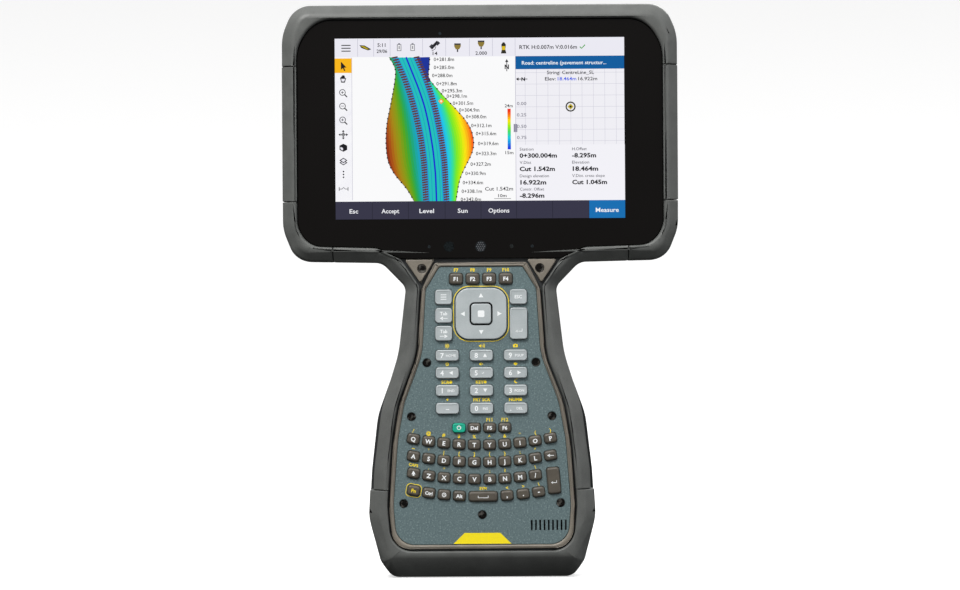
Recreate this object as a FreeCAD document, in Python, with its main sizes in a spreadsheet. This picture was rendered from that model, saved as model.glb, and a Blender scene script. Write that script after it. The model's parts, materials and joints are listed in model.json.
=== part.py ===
import FreeCAD, Part
import Sketcher
import math
import os
from FreeCAD import Placement, Rotation, Vector

# Data collector standing on its grip end: +Z up the long axis, the screen faces -Y, +X is the viewer's right.
# "Forward" sizes are measured from the middle plane towards the screen side, so forward = -Y.

os.makedirs("parts", exist_ok=True)
doc = FreeCAD.newDocument("data_collector")
sheet = doc.addObject("Spreadsheet::Sheet", "Sizes")

SIZES = {
    # layers, forward of the middle plane
    "bumper_front": 26.0, "bumper_back": 10.0, "glass_front": 24.2, "glass_back": 22.4,
    "plate_front": 24.0, "ledge_front": 22.4, "floor_front": 16.0, "floor_back": 14.0,
    "flange_back": 8.0, "shell_back": -8.0, "shell_wall_back": -5.6, "bay_back": -12.0, "hump_back": -13.0,
    "pack_back": -16.0, "panel_back": 16.0, "rim_front": 24.6, "gusset_front": 24.2,
    "board_front": 17.6, "mat_front": 19.4, "main_board_front": 14.0, "main_board_back": 12.4, "chip_back": 10.9,
    # bumper section
    "bumper_facet_across": 4.3, "bumper_facet_deep": 5.5, "shell_chamfer_across": 5.0, "shell_chamfer_deep": 7.0,
    "split_gap": 0.5, "upper_split": 267.0, "lower_split": 196.5, "underside_split": 77.0, "grip_split": 46.0,
    "base_slope_up": 10.5, "base_slope_back": 17.5,
    "shoe_top": 7.0, "shoe_half_width": 44.0, "shoe_back": -6.0, "shoe_gap": 0.2,
    # keypad parts
    "rim_width": 2.3, "plate_gap": 0.1, "mat_gap": 0.6, "key_gap": 0.25, "flange_edge": 0.5,
    "cap_front": 25.6, "cap_lip": 0.9, "cap_dish": 0.15, "cap_edge": 0.5, "cap_corner": 1.6,
    "letter_edge": 1.2, "key_flange": 0.8, "key_stem_back": 18.6,
    "stem_radius": 1.0, "stem_hole_radius": 1.5,
    "letter_pitch": 7.93, "letter_width": 6.45, "letter_height": 5.3, "letter_curve": 0.0026,
    "letter_cap_front": 25.5, "space_width": 15.0, "space_across": 0.5,
    "ring_size": 26.6, "ring_corner": 7.0, "ring_window": 12.1, "ring_window_corner": 2.6, "ring_front": 25.4,
    "ring_back": 21.4, "ring_up": 137.6, "ring_gap": 0.3, "select_size": 10.4, "select_corner": 1.8,
    "select_front": 25.4, "select_back": 20.4, "pivot_size": 18.0, "pivot_window": 13.4,
    "pivot_front": 20.8, "pivot_back": 20.05,
    "slot_width": 0.9, "slot_height": 5.5, "slot_pitch": 2.22, "slot_first": 25.7, "slot_up": 27.3,
    # display
    "panel_width": 156.0, "panel_height": 99.0, "panel_up": 234.25, "panel_gap": 0.3,
    # fasteners
    "screw_seat": 22.9, "screw_head_radius": 2.1, "screw_head_high": 1.0, "screw_shank_radius": 0.95,
    "screw_length": 6.5, "screw_hole_radius": 1.0, "screw_recess_radius": 2.4, "boss_radius": 3.0,
    "boss_gap": 0.3, "screw_drive_radius": 1.05, "screw_drive_deep": 0.6, "rear_seat": -6.6,
    "rear_head_radius": 2.9, "rear_head_high": 1.2, "rear_shank_radius": 1.4, "rear_hole_radius": 1.5,
    "rear_recess_radius": 3.1, "rear_screw_length": 6.0,
    # back of the case
    "bay_width": 186.0, "bay_height": 100.0, "bay_up": 231.0, "bay_corner": 9.0, "pack_across": 62.5,
    "pack_width": 54.0, "pack_height": 84.0, "pack_corner": 5.0, "pack_gap": 0.4, "pack_front": -8.2,
    "pack_up": 228.0, "module_width": 62.0, "module_height": 88.0, "module_front": -8.0, "module_up": 231.0,
    "pack_groove_pitch": 6.0, "pack_groove_high": 2.0, "pack_groove_deep": 0.8,
    "latch_width": 16.0, "latch_height": 4.4, "latch_up": 274.2, "latch_front": -9.2, "latch_back": -13.6,
    "latch_slot_front": -9.0, "latch_slot_width": 16.6, "latch_slot_low": 271.8, "latch_slot_high": 279.0,
    "camera_up": 286.3, "camera_recess_radius": 4.4, "camera_radius": 4.3, "camera_front": -6.6,
    "camera_back": -7.8, "strap_width": 32.0, "strap_inner": 13.3, "strap_outer": 15.9, "strap_bow_inner": 23.4,
    "strap_bow_outer": 26.0, "clamp_width": 40.0, "clamp_height": 8.0, "clamp_back": -18.2, "clamp_channel": 32.8,
    "clamp_channel_back": -16.2, "clamp_low_up": 17.5, "clamp_high_up": 146.5, "clamp_screw_across": 18.2,
    "clamp_screw_radius": 1.1, "clamp_screw_deep": 1.2,
    # port door on the right edge
    "port_up": 226.0, "port_high": 40.0, "port_front": 6.8, "port_back": -2.9, "port_deep": 2.8,
    "door_front": 6.5, "door_thick": 1.5, "door_gap": 0.3, "hinge_forward": -0.8, "hinge_across": 100.3,
    "barrel_radius": 1.1, "hinge_pin_radius": 0.5, "hinge_bore_radius": 0.54, "head_half_width": 101.7,
    "inlet_radius": 2.0, "inlet_deep": 8.0, "inlet_up": 236.5, "port_block_deep": 10.0, "port_window_high": 32.0,
    "port_window_front": 6.2, "port_window_back": -0.2, "port_block_gap": 0.2, "port_block_shift": 0.2,
    "socket_middle": 3.0, "wide_socket_width": 12.4, "wide_socket_high": 4.4, "wide_socket_up": 226.5,
    "small_socket_width": 8.9, "small_socket_high": 3.0, "small_socket_up": 214.5, "socket_deep": 7.0,
    "hinge_pin_half": 22.3, "hinge_bore_half": 22.6,
    "speaker_across": 34.4, "speaker_width": 16.6, "speaker_height": 6.4, "speaker_front": 21.6,
    "main_board_width": 172.0, "main_board_height": 100.0, "main_board_up": 232.0,
}

# Right-hand halves of the symmetric outlines, from the top centre round to the bottom centre:
# distance across from the centre line, height, and corner radius.
OUTLINES = {
    "bumper": [(96.5, 299, 13), (103.2, 283.5, 26), (103.2, 182, 24), (96.5, 165.3, 12), (51.6, 164.4, 9),
               (39.2, 151.6, 6), (43.2, 117, 60), (52.3, 88, 50), (56.3, 56, 60), (57.3, 30, 20),
               (48, 1.2, 8)],
    "shell": [(95.8, 297.5, 13), (101.7, 283, 26), (101.7, 182.5, 24), (95.4, 166.8, 12), (51.5, 165.7, 9),
              (39, 151.6, 6), (42.7, 117, 80), (54.6, 84.5, 40), (57.9, 56, 50), (59.3, 32, 24), (53.2, 9, 9),
              (47, 0, 7)],
    "inner": [(86.2, 291.3, 17), (95.5, 276.5, 22), (95.5, 182.8, 14), (89.2, 173, 12.5), (54, 172, 10),
              (41.5, 166, 6), (31.9, 151.8, 5), (34.1, 116, 40), (43.6, 91.5, 30), (47, 72, 60), (49.5, 38, 40),
              (47.4, 14, 12)],
    "glass": [(86.1, 291.1, 16.8), (95.3, 276.5, 21.8), (95.3, 182.9, 13.8), (89.1, 173.2, 12.3), (54, 172.2, 9),
              (42, 166.5, 2)],
    "plate": [(21.6, 162.1, 2), (28.8, 150.4, 4), (30.8, 116.5, 40), (40.2, 91.3, 30), (43.7, 72, 60),
              (46.2, 38, 40), (44.6, 17.3, 10)],
    "well": [(18.8, 160, 2), (26, 149.6, 3), (28.2, 115.6, 20), (37.6, 90.6, 20), (41.3, 72, 40),
             (43.8, 38, 30), (42.2, 20.5, 4)],
    "mat": [(18.2, 159.4, 2), (25.4, 149.4, 3), (27.6, 115.2, 20), (37, 90.2, 20), (40.7, 72, 40),
            (43.2, 38, 3), (41, 35.6, 1)],
    "cavity": [(85, 288.5, 14), (92.7, 275.8, 16), (92.7, 183.6, 12), (88, 175.8, 9), (51, 174.8, 8),
               (38.6, 167.2, 6), (29.2, 152.6, 5), (31.4, 115.4, 30), (40.9, 90.9, 30), (44.3, 71.4, 50),
               (46.7, 38, 30), (44.8, 16.8, 9)],
    "hump": [(28, 153, 8), (30, 112, 40), (39, 84, 40), (41, 50, 40), (38, 12, 8)],
}
LETTERS = "abcdefghijkl"

# Keys: distance across, height of the middle, width, height of the cap.
KEYS = {
    "menu_key": (-19.5, 146.4, 8.7, 7.7), "tab_back_key": (-19.5, 136.8, 8.7, 7.7),
    "tab_key": (-19.5, 127.5, 8.7, 7.7), "escape_key": (19.4, 146.4, 8.9, 7.7), "enter_key": (19.5, 132.5, 9, 16.4),
    "power_key": (-11.9, 78.2, 6.7, 4.8),
}
NUMBER_KEYS = [["number_seven", "number_eight", "number_nine"], ["number_four", "number_five", "number_six"],
               ["number_one", "number_two", "number_three"], ["minus_key", "number_zero", "point_key"]]
NUMBER_COLUMNS = [-17.8, 0.0, 17.8]
NUMBER_ROWS = [116.0, 106.9, 97.7, 88.4]
for names, up in zip(NUMBER_KEYS, NUMBER_ROWS):
    for name, across in zip(names, NUMBER_COLUMNS):
        KEYS[name] = (across, up, 11.9, 5.7)
FUNCTION_KEYS = [(-12.95, 155.8, 7.0, 5.9), (-4.3, 155.8, 7.0, 5.9), (4.3, 155.8, 7.0, 5.9), (12.95, 155.8, 7.0, 5.9)]
EDIT_KEYS = [(-3.9, 78.2, 6.5, 5.0), (4.1, 78.2, 6.5, 5.0), (12.0, 78.2, 6.5, 5.0)]
LETTER_ENTER = (37.3, 50.5, 6.7, 13.9)
LETTER_ENTER_TURN = 5.0
# Letter rows: height at the centre line and the key places used, counted along the ten-key pitch.
LETTER_ROWS = {
    "letters_top": (69.3, [0, 1, 2, 3, 4, 5, 6, 7, 8, 9]),
    "letters_middle": (60.3, [0, 1, 2, 3, 4, 5, 6, 7, 8, 9]),
    "letters_lower": (51.4, [0, 1, 2, 3, 4, 5, 6, 7, 8]),
    "letters_bottom": (42.4, [0, 1, 2, 3, 6.13, 7.19, 8.21]),
}
PLATE_SCREWS = [(28.4, 112.2), (36.6, 84.2), (40.9, 38.9), (-28.4, 112.2), (-36.6, 84.2), (-40.9, 38.9), (0, 32.9)]
GUSSET_SCREWS = [(30.7, 161.2), (-30.7, 161.2)]
REAR_SCREWS = [(78, 287.4), (-78, 287.4), (86, 177.2), (-86, 177.2), (47, 30), (-47, 30)]
GUSSET = [(23.9, 166, 0.8), (39.8, 166, 0.8), (31.6, 153.6, 0.8)]
STRAP_SIDE = [("strap_inner", 13), ("strap_outer", 13), ("strap_outer", 22), ("strap_bow_outer", 46),
              ("strap_bow_outer", 118), ("strap_outer", 142), ("strap_outer", 151), ("strap_inner", 151),
              ("strap_inner", 141.4), ("strap_bow_inner", 117.4), ("strap_bow_inner", 46.6), ("strap_inner", 22.6)]
STRAP_ROUND = [0.4, 0.4, 8, 14, 14, 8, 0.4, 0.4, 6, 11, 11, 6]


def fill_sheet():
    """Every driving size as a named cell."""
    cells = dict(SIZES)
    for name, corners in OUTLINES.items():
        for letter, (across, up, radius) in zip(LETTERS, corners):
            cells[f"{name}_{letter}_across"] = across
            cells[f"{name}_{letter}_up"] = up
            cells[f"{name}_{letter}_radius"] = radius
    for name, (across, up, width, height) in KEYS.items():
        cells[f"{name}_across"] = across
        cells[f"{name}_up"] = up
        cells[f"{name}_width"] = width
        cells[f"{name}_height"] = height
    for name, (up, places) in LETTER_ROWS.items():
        cells[f"{name}_up"] = up
    for row, (alias, value) in enumerate(cells.items(), start=1):
        sheet.set(f"A{row}", alias)
        sheet.set(f"B{row}", str(value))
        sheet.setAlias(f"B{row}", alias)
    doc.recompute()


def size(alias):
    return float(sheet.get(alias))


def cell(text):
    """Expression text with every sheet alias spelled in full."""
    words = []
    for word in text.split():
        words.append(f"Sizes.{word}" if word[0].isalpha() else word)
    return " ".join(words)


def number_of(expression):
    return float(sheet.evalExpression(expression))


def new_body(name):
    body = doc.addObject("PartDesign::Body", name)
    body.Label = name
    return body


def new_sketch(body, name, role, offset):
    """Sketch on one of the body's own origin planes, moved along the plane's normal."""
    plane = [part for part in body.Origin.OriginFeatures if part.Role == role][0]
    sketch = body.newObject("Sketcher::SketchObject", name)
    sketch.AttachmentSupport = [(plane, "")]
    sketch.MapMode = "FlatFace"
    sketch.setExpression("AttachmentOffset.Base.z", cell(offset))
    return sketch


def bind(sketch, constraints):
    """Add (constraint, expression or None) pairs in one go, then bind the named ones to the sheet."""
    first = sketch.ConstraintCount
    sketch.addConstraint([constraint for constraint, expression in constraints])
    for number, (constraint, expression) in enumerate(constraints):
        if expression:
            sketch.setExpression(f"Constraints[{first + number}]", expression)


def point_bonds(geometry, point, across, up, values):
    """Dimensions that hold a point at a signed distance across and up from the sketch origin."""
    bonds = []
    for kind, expression, value in (("DistanceX", across, values[0]), ("DistanceY", up, values[1])):
        if abs(value) < 1e-9:
            axis = -2 if kind == "DistanceX" else -1
            bonds.append((Sketcher.Constraint("PointOnObject", geometry, point, axis), None))
        elif value > 0:
            bonds.append((Sketcher.Constraint(kind, -1, 1, geometry, point, value), expression))
        else:
            bonds.append((Sketcher.Constraint(kind, geometry, point, -1, 1, -value), f"-({expression})"))
    return bonds


def round_corners(corners):
    """Start, end and counter-clockwise arc at each corner of an outline."""
    arcs = []
    for number, (corner, radius) in enumerate(corners):
        before = (corners[number - 1][0] - corner).normalize()
        after = (corners[(number + 1) % len(corners)][0] - corner).normalize()
        half = before.getAngle(after) / 2
        run = radius / math.tan(half)
        start = corner + before * run
        end = corner + after * run
        centre = corner + (before + after).normalize() * (radius / math.sin(half))
        first, second = (end, start) if before.cross(after).z > 0 else (start, end)
        angles = [math.atan2(point.y - centre.y, point.x - centre.x) for point in (first, second)]
        arc = Part.ArcOfCircle(Part.Circle(centre, Vector(0, 0, 1), radius), angles[0], angles[1])
        arcs.append((start, arc, end))
    return arcs


def rounded_outline(sketch, corners):
    """Closed outline of lines and tangent arcs; corners are (x, y, radius, x, y and radius expressions)."""
    arcs = round_corners([(Vector(x, y, 0), radius) for x, y, radius, _, _, _ in corners])
    count = len(arcs)
    geometry = []
    for number, (start, arc, end) in enumerate(arcs):
        geometry.append(arc)
        geometry.append(Part.LineSegment(end, arcs[(number + 1) % count][0]))
    base = sketch.GeometryCount
    sketch.addGeometry(geometry, False)
    for x, y, radius, _, _, _ in corners:
        sketch.addGeometry(Part.Point(Vector(x, y, 0)), True)

    def end_at(line, point):
        return 1 if (sketch.Geometry[line].StartPoint - point).Length < 1e-6 else 2

    bonds = []
    for number, (x, y, radius, x_cell, y_cell, radius_cell) in enumerate(corners):
        arc = base + 2 * number
        line = arc + 1
        before = base + (2 * number - 1) % (2 * count)
        start, _, end = arcs[number]
        corner = base + 2 * count + number
        bonds.append((Sketcher.Constraint("Tangent", arc, end_at(arc, start), before, end_at(before, start)), None))
        bonds.append((Sketcher.Constraint("Tangent", arc, end_at(arc, end), line, end_at(line, end)), None))
        bonds.append((Sketcher.Constraint("PointOnObject", corner, 1, before), None))
        bonds.append((Sketcher.Constraint("PointOnObject", corner, 1, line), None))
        bonds.append((Sketcher.Constraint("Radius", arc, radius), radius_cell))
        bonds.extend(point_bonds(corner, 1, x_cell, y_cell, (x, y)))
    bind(sketch, bonds)


def half_outline(sketch, name, grow=None):
    """Right half of a named outline, closed along the centre line and grown by a cell's size where given."""
    extra = size(grow) if grow else 0.0
    grown = f" + Sizes.{grow}" if grow else ""
    last = len(OUTLINES[name]) - 1
    corners = []
    cells = []
    for number, letter in enumerate(LETTERS[:last + 1]):
        lift = {0: 1, last: -1}.get(number, 0)
        sign = {1: "+", -1: "-"}.get(lift)
        across_cell = f"Sizes.{name}_{letter}_across{grown}"
        up_cell = f"Sizes.{name}_{letter}_up"
        if grow and sign:
            up_cell = f"{up_cell} {sign} Sizes.{grow}"
        point = Vector(size(f"{name}_{letter}_across") + extra, size(f"{name}_{letter}_up") + lift * extra, 0)
        corners.append((point, size(f"{name}_{letter}_radius")))
        cells.append((across_cell, up_cell, f"Sizes.{name}_{letter}_radius"))
    top = Vector(0, corners[0][0].y, 0)
    bottom = Vector(0, corners[-1][0].y, 0)
    arcs = round_corners([(top, 0.01)] + corners + [(bottom, 0.01)])[1:-1]
    geometry = []
    for number, (start, arc, end) in enumerate(arcs):
        following = arcs[number + 1][0] if number < last else bottom
        geometry.append(arc)
        geometry.append(Part.LineSegment(end, following))
    geometry.append(Part.LineSegment(bottom, top))
    geometry.append(Part.LineSegment(top, arcs[0][0]))
    sketch.addGeometry(geometry, False)
    for point, radius in corners:
        sketch.addGeometry(Part.Point(point), True)
    axis_line = 2 * last + 2
    top_line = 2 * last + 3

    def end_at(line, point):
        return 1 if (sketch.Geometry[line].StartPoint - point).Length < 1e-6 else 2

    bonds = [(Sketcher.Constraint("Coincident", 2 * last + 1, 2, axis_line, 1), None),
             (Sketcher.Constraint("Coincident", axis_line, 2, top_line, 1), None),
             (Sketcher.Constraint("Horizontal", 2 * last + 1), None),
             (Sketcher.Constraint("Horizontal", top_line), None),
             (Sketcher.Constraint("PointOnObject", axis_line, 1, -2), None),
             (Sketcher.Constraint("PointOnObject", axis_line, 2, -2), None)]
    for number, (start, _, end) in enumerate(arcs):
        arc = 2 * number
        line = arc + 1
        before = arc - 1 if number else top_line
        corner = top_line + 1 + number
        across_cell, up_cell, radius_cell = cells[number]
        point, radius = corners[number]
        bonds.append((Sketcher.Constraint("Tangent", arc, end_at(arc, start), before, end_at(before, start)), None))
        bonds.append((Sketcher.Constraint("Tangent", arc, end_at(arc, end), line, end_at(line, end)), None))
        bonds.append((Sketcher.Constraint("PointOnObject", corner, 1, before), None))
        bonds.append((Sketcher.Constraint("PointOnObject", corner, 1, line), None))
        bonds.append((Sketcher.Constraint("Radius", arc, radius), radius_cell))
        bonds.extend(point_bonds(corner, 1, across_cell, up_cell, (point.x, point.y)))
    bind(sketch, bonds)


def rounded_rectangle(sketch, width, height, corner, across="0", up="0"):
    """Rounded rectangle from size expressions, centred on (across, up)."""
    expressions = [cell(text) for text in (width, height, corner, across, up)]
    wide, high, radius, x, y = [number_of(text) for text in expressions]
    corners = []
    for side, end in ((1, 1), (1, -1), (-1, -1), (-1, 1)):
        x_cell = f"({expressions[3]}) + {side} * ({expressions[0]}) / 2"
        y_cell = f"({expressions[4]}) + {end} * ({expressions[1]}) / 2"
        corners.append((x + side * wide / 2, y + end * high / 2, radius, x_cell, y_cell, expressions[2]))
    rounded_outline(sketch, corners)


def rectangle(sketch, left, right, low, high):
    """Plain rectangle from edge expressions."""
    edges = [cell(text) for text in (left, right, low, high)]
    values = [number_of(text) for text in edges]
    corners = [(0, 2), (1, 2), (1, 3), (0, 3)]
    points = [Vector(values[a], values[b], 0) for a, b in corners]
    base = sketch.GeometryCount
    sketch.addGeometry([Part.LineSegment(points[i], points[(i + 1) % 4]) for i in range(4)], False)
    bonds = [(Sketcher.Constraint("Coincident", base + i, 2, base + (i + 1) % 4, 1), None) for i in range(4)]
    for i in (0, 2):
        bonds.append((Sketcher.Constraint("Horizontal", base + i), None))
        bonds.append((Sketcher.Constraint("Vertical", base + i + 1), None))
    bonds.extend(point_bonds(base, 1, edges[0], edges[2], (values[0], values[2])))
    bonds.extend(point_bonds(base + 2, 1, edges[1], edges[3], (values[1], values[3])))
    bind(sketch, bonds)


def circle(sketch, across, up, radius):
    """Circle at plain coordinates or expressions, radius bound to a cell."""
    x_cell, y_cell, radius_cell = [cell(str(text)) for text in (across, up, radius)]
    values = [number_of(text) for text in (x_cell, y_cell, radius_cell)]
    ring = Part.Circle(Vector(values[0], values[1], 0), Vector(0, 0, 1), values[2])
    number = sketch.addGeometry(ring, False)
    bonds = [(Sketcher.Constraint("Radius", number, values[2]), radius_cell)]
    bonds.extend(point_bonds(number, 3, x_cell, y_cell, values))
    bind(sketch, bonds)


def slab(body, name, draw, back, front, role="XZ_Plane"):
    """Pad between two offsets along the plane's normal."""
    sketch = new_sketch(body, f"{name}_sketch", role, back)
    draw(sketch)
    pad = body.newObject("PartDesign::Pad", name)
    pad.Profile = sketch
    pad.setExpression("Length", f"{cell(front)} - ({cell(back)})")
    body.Tip = pad
    doc.recompute()
    return pad


def cut(body, name, draw, back, front, role="XZ_Plane"):
    """Pocket between two offsets along the plane's normal, sketched on its front plane."""
    before = body.Tip.Shape.Volume
    sketch = new_sketch(body, f"{name}_sketch", role, front)
    draw(sketch)
    pocket = body.newObject("PartDesign::Pocket", name)
    pocket.Profile = sketch
    pocket.setExpression("Length", f"{cell(front)} - ({cell(back)})")
    body.Tip = pocket
    doc.recompute()
    if not pocket.Shape.Volume < before - 1e-6:
        raise RuntimeError(f"{name} cuts nothing")
    return pocket


def mirrored(body, feature):
    """Copy a half across the centre line."""
    plane = [part for part in body.Origin.OriginFeatures if part.Role == "YZ_Plane"][0]
    mirror = body.newObject("PartDesign::Mirrored", f"{feature.Name}_both")
    mirror.Originals = [feature]
    mirror.MirrorPlane = (plane, [""])
    body.Tip = mirror
    doc.recompute()
    return mirror


def outline_slab(body, name, outline, back, front, grow=None):
    """Pad of a named symmetric outline."""
    return mirrored(body, slab(body, name, lambda sketch: half_outline(sketch, outline, grow), back, front))


def outline_cut(body, name, outline, back, front, grow=None):
    """Pocket of a named symmetric outline."""
    return mirrored(body, cut(body, name, lambda sketch: half_outline(sketch, outline, grow), back, front))


def face_names(shape, wanted):
    return [f"Face{number}" for number, face in enumerate(shape.Faces, start=1) if wanted(face)]


def front_chamfer(body, feature, forward, across, deep):
    """Chamfer round the face that lies at one forward offset."""
    value = number_of(cell(forward))
    names = face_names(feature.Shape, lambda face: abs(-face.CenterOfMass.y - value) < 1e-4)
    chamfer = body.newObject("PartDesign::Chamfer", f"{feature.Name}_chamfer")
    chamfer.Base = (feature, names)
    chamfer.ChamferType = "Two distances"
    chamfer.setExpression("Size", cell(across))
    chamfer.setExpression("Size2", cell(deep))
    body.Tip = chamfer
    doc.recompute()
    return chamfer


def front_fillet(body, feature, forward, radius):
    """Fillet round the face that lies at one forward offset."""
    value = number_of(cell(forward))
    names = face_names(feature.Shape, lambda face: abs(-face.CenterOfMass.y - value) < 1e-4)
    fillet = body.newObject("PartDesign::Fillet", f"{feature.Name}_fillet")
    fillet.Base = (feature, names)
    fillet.setExpression("Radius", cell(radius))
    body.Tip = fillet
    doc.recompute()
    return fillet


def block(body, name, width, height, back, front):
    """Box centred on the body's own axis between two forward offsets."""
    box = body.newObject("PartDesign::AdditiveBox", name)
    set_block(box, width, height, back, front)
    body.Tip = box
    doc.recompute()
    return box


def set_block(box, width, height, back, front):
    box.setExpression("Length", cell(width))
    box.setExpression("Width", f"{cell(front)} - ({cell(back)})")
    box.setExpression("Height", cell(height))
    box.setExpression("Placement.Base.x", f"-({cell(width)}) / 2")
    box.setExpression("Placement.Base.y", f"-({cell(front)})")
    box.setExpression("Placement.Base.z", f"-({cell(height)}) / 2")


def round_upright_edges(body, feature, radius):
    """Fillet of the four edges that run front to back."""
    names = []
    for number, edge in enumerate(feature.Shape.Edges, start=1):
        along = edge.Vertexes[-1].Point - edge.Vertexes[0].Point
        if abs(along.x) + abs(along.z) < 1e-6:
            names.append(f"Edge{number}")
    fillet = body.newObject("PartDesign::Fillet", f"{feature.Name}_corners")
    fillet.Base = (feature, names)
    fillet.setExpression("Radius", cell(radius))
    body.Tip = fillet
    doc.recompute()
    return fillet


def place(thing, across, up, turn=0.0):
    """Stand a part at its place in the keypad, turned about the front-to-back axis."""
    thing.Placement = Placement(Vector(0, 0, 0), Rotation(Vector(0, -1, 0), turn))
    thing.setExpression("Placement.Base.x", cell(across))
    thing.setExpression("Placement.Base.z", cell(up))


class Key:
    """One key: its place, size, turn and the forward offset of its cap."""

    def __init__(self, name, across, up, width, height, turn=0.0, front="cap_front"):
        self.name = name
        self.across = across
        self.up = up
        self.width = width
        self.height = height
        self.turn = turn
        self.front = front
        self.edge = "cap_edge" if front == "cap_front" else "letter_edge"

    def make(self, label):
        body = new_body(label)
        cap = block(body, f"{self.name}_cap", self.width, self.height, "ledge_front", self.front)
        cap = round_upright_edges(body, cap, "cap_corner")
        front_fillet(body, cap, self.front, self.edge)
        if self.front == "cap_front":
            self.dish(body)
        flange_back = "ledge_front - key_flange"
        block(body, f"{self.name}_flange", f"{self.width} + 2 * flange_edge", f"{self.height} + 2 * flange_edge",
              flange_back, "ledge_front")
        slab(body, f"{self.name}_stem", lambda sketch: circle(sketch, 0, 0, "stem_radius"), "key_stem_back",
             flange_back)
        place(body, self.across, self.up, self.turn)
        return body

    def dish(self, body):
        """Shallow sunk face inside a raised lip."""
        width = f"{self.width} - 2 * cap_lip"
        height = f"{self.height} - 2 * cap_lip"
        before = body.Tip.Shape.Volume
        box = body.newObject("PartDesign::SubtractiveBox", f"{self.name}_dish")
        set_block(box, width, height, f"{self.front} - cap_dish", f"{self.front} + 1")
        body.Tip = box
        doc.recompute()
        if not box.Shape.Volume < before:
            raise RuntimeError(f"{self.name} has no dish")

    def opening(self):
        body = new_body(f"{self.name}_opening")
        hole = block(body, f"{self.name}_hole", f"{self.width} + 2 * key_gap", f"{self.height} + 2 * key_gap",
                     "ledge_front - 1", "plate_front + 1")
        round_upright_edges(body, hole, "cap_corner")
        place(body, self.across, self.up, self.turn)
        return body


def named_key(name):
    return Key(name, f"{name}_across", f"{name}_up", f"{name}_width", f"{name}_height")


def plain_keys(name, places):
    return [Key(f"{name}_{number}", str(across), str(up), str(width), str(height), 0.0, "letter_cap_front")
            for number, (across, up, width, height) in enumerate(places, start=1)]


def letter_key(row, number, along):
    """A key on a row that curves up towards its ends, turned square to the curve."""
    across = (along - 4.5) * size("letter_pitch")
    turn = math.degrees(math.atan(2 * size("letter_curve") * across))
    across_text = f"( {along} - 4.5 ) * letter_pitch"
    up_text = f"{row}_up + letter_curve * ( {across_text} ) ^ 2"
    return Key(f"{row}_{number}", across_text, up_text, "letter_width", "letter_height", turn, "letter_cap_front")


def letter_rows():
    rows = {}
    for row, (up, places) in LETTER_ROWS.items():
        rows[row] = [letter_key(row, number, along) for number, along in enumerate(places, start=1)]
    rows["letters_bottom"].append(Key("space_key", "space_across", "letters_bottom_up", "space_width",
                                      "letter_height", 0.0, "letter_cap_front"))
    return rows


def group(name, parts):
    """One sub-part made of separate like solids."""
    compound = doc.addObject("Part::Compound", name)
    compound.Label = name
    compound.Links = parts
    doc.recompute()
    return compound


def make_keys(keys, rows):
    parts = [key.make(key.name) for key in keys]
    for row, members in rows.items():
        parts.append(group(row, [key.make(f"{key.name}_body") for key in members]))
    return parts


def make_front_housing():
    body = new_body("front_housing")
    outline_slab(body, "housing_wall", "inner", "bumper_back", "ledge_front")
    outline_slab(body, "housing_flange", "shell", "flange_back", "bumper_back")
    outline_cut(body, "housing_back_space", "cavity", "flange_back", "floor_back")
    cut(body, "panel_pocket", lambda sketch: rounded_rectangle(
        sketch, "panel_width + 2 * panel_gap", "panel_height + 2 * panel_gap", "1", "0", "panel_up"),
        "floor_front", "ledge_front")
    outline_cut(body, "keypad_pocket", "well", "floor_front", "ledge_front")
    slab(body, "screw_bosses", lambda sketch: circles(sketch, PLATE_SCREWS, "boss_radius"),
         "floor_front", "ledge_front")
    cut(body, "screw_holes", lambda sketch: circles(sketch, PLATE_SCREWS + GUSSET_SCREWS, "screw_hole_radius"),
        "floor_front + 0.2", "ledge_front")
    cut_shoe_space(body)
    return body


def cut_shoe_space(body):
    """Room for the rubber shoe that wraps under the case."""
    cut(body, f"{body.Name}_shoe_space", lambda sketch: rectangle(
        sketch, "- shoe_half_width - shoe_gap", "shoe_half_width + shoe_gap", "- 1", "shoe_top + shoe_gap"),
        "shoe_back - shoe_gap", "bumper_back")


def circles(sketch, places, radius):
    for across, up in places:
        circle(sketch, across, up, radius)


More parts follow.
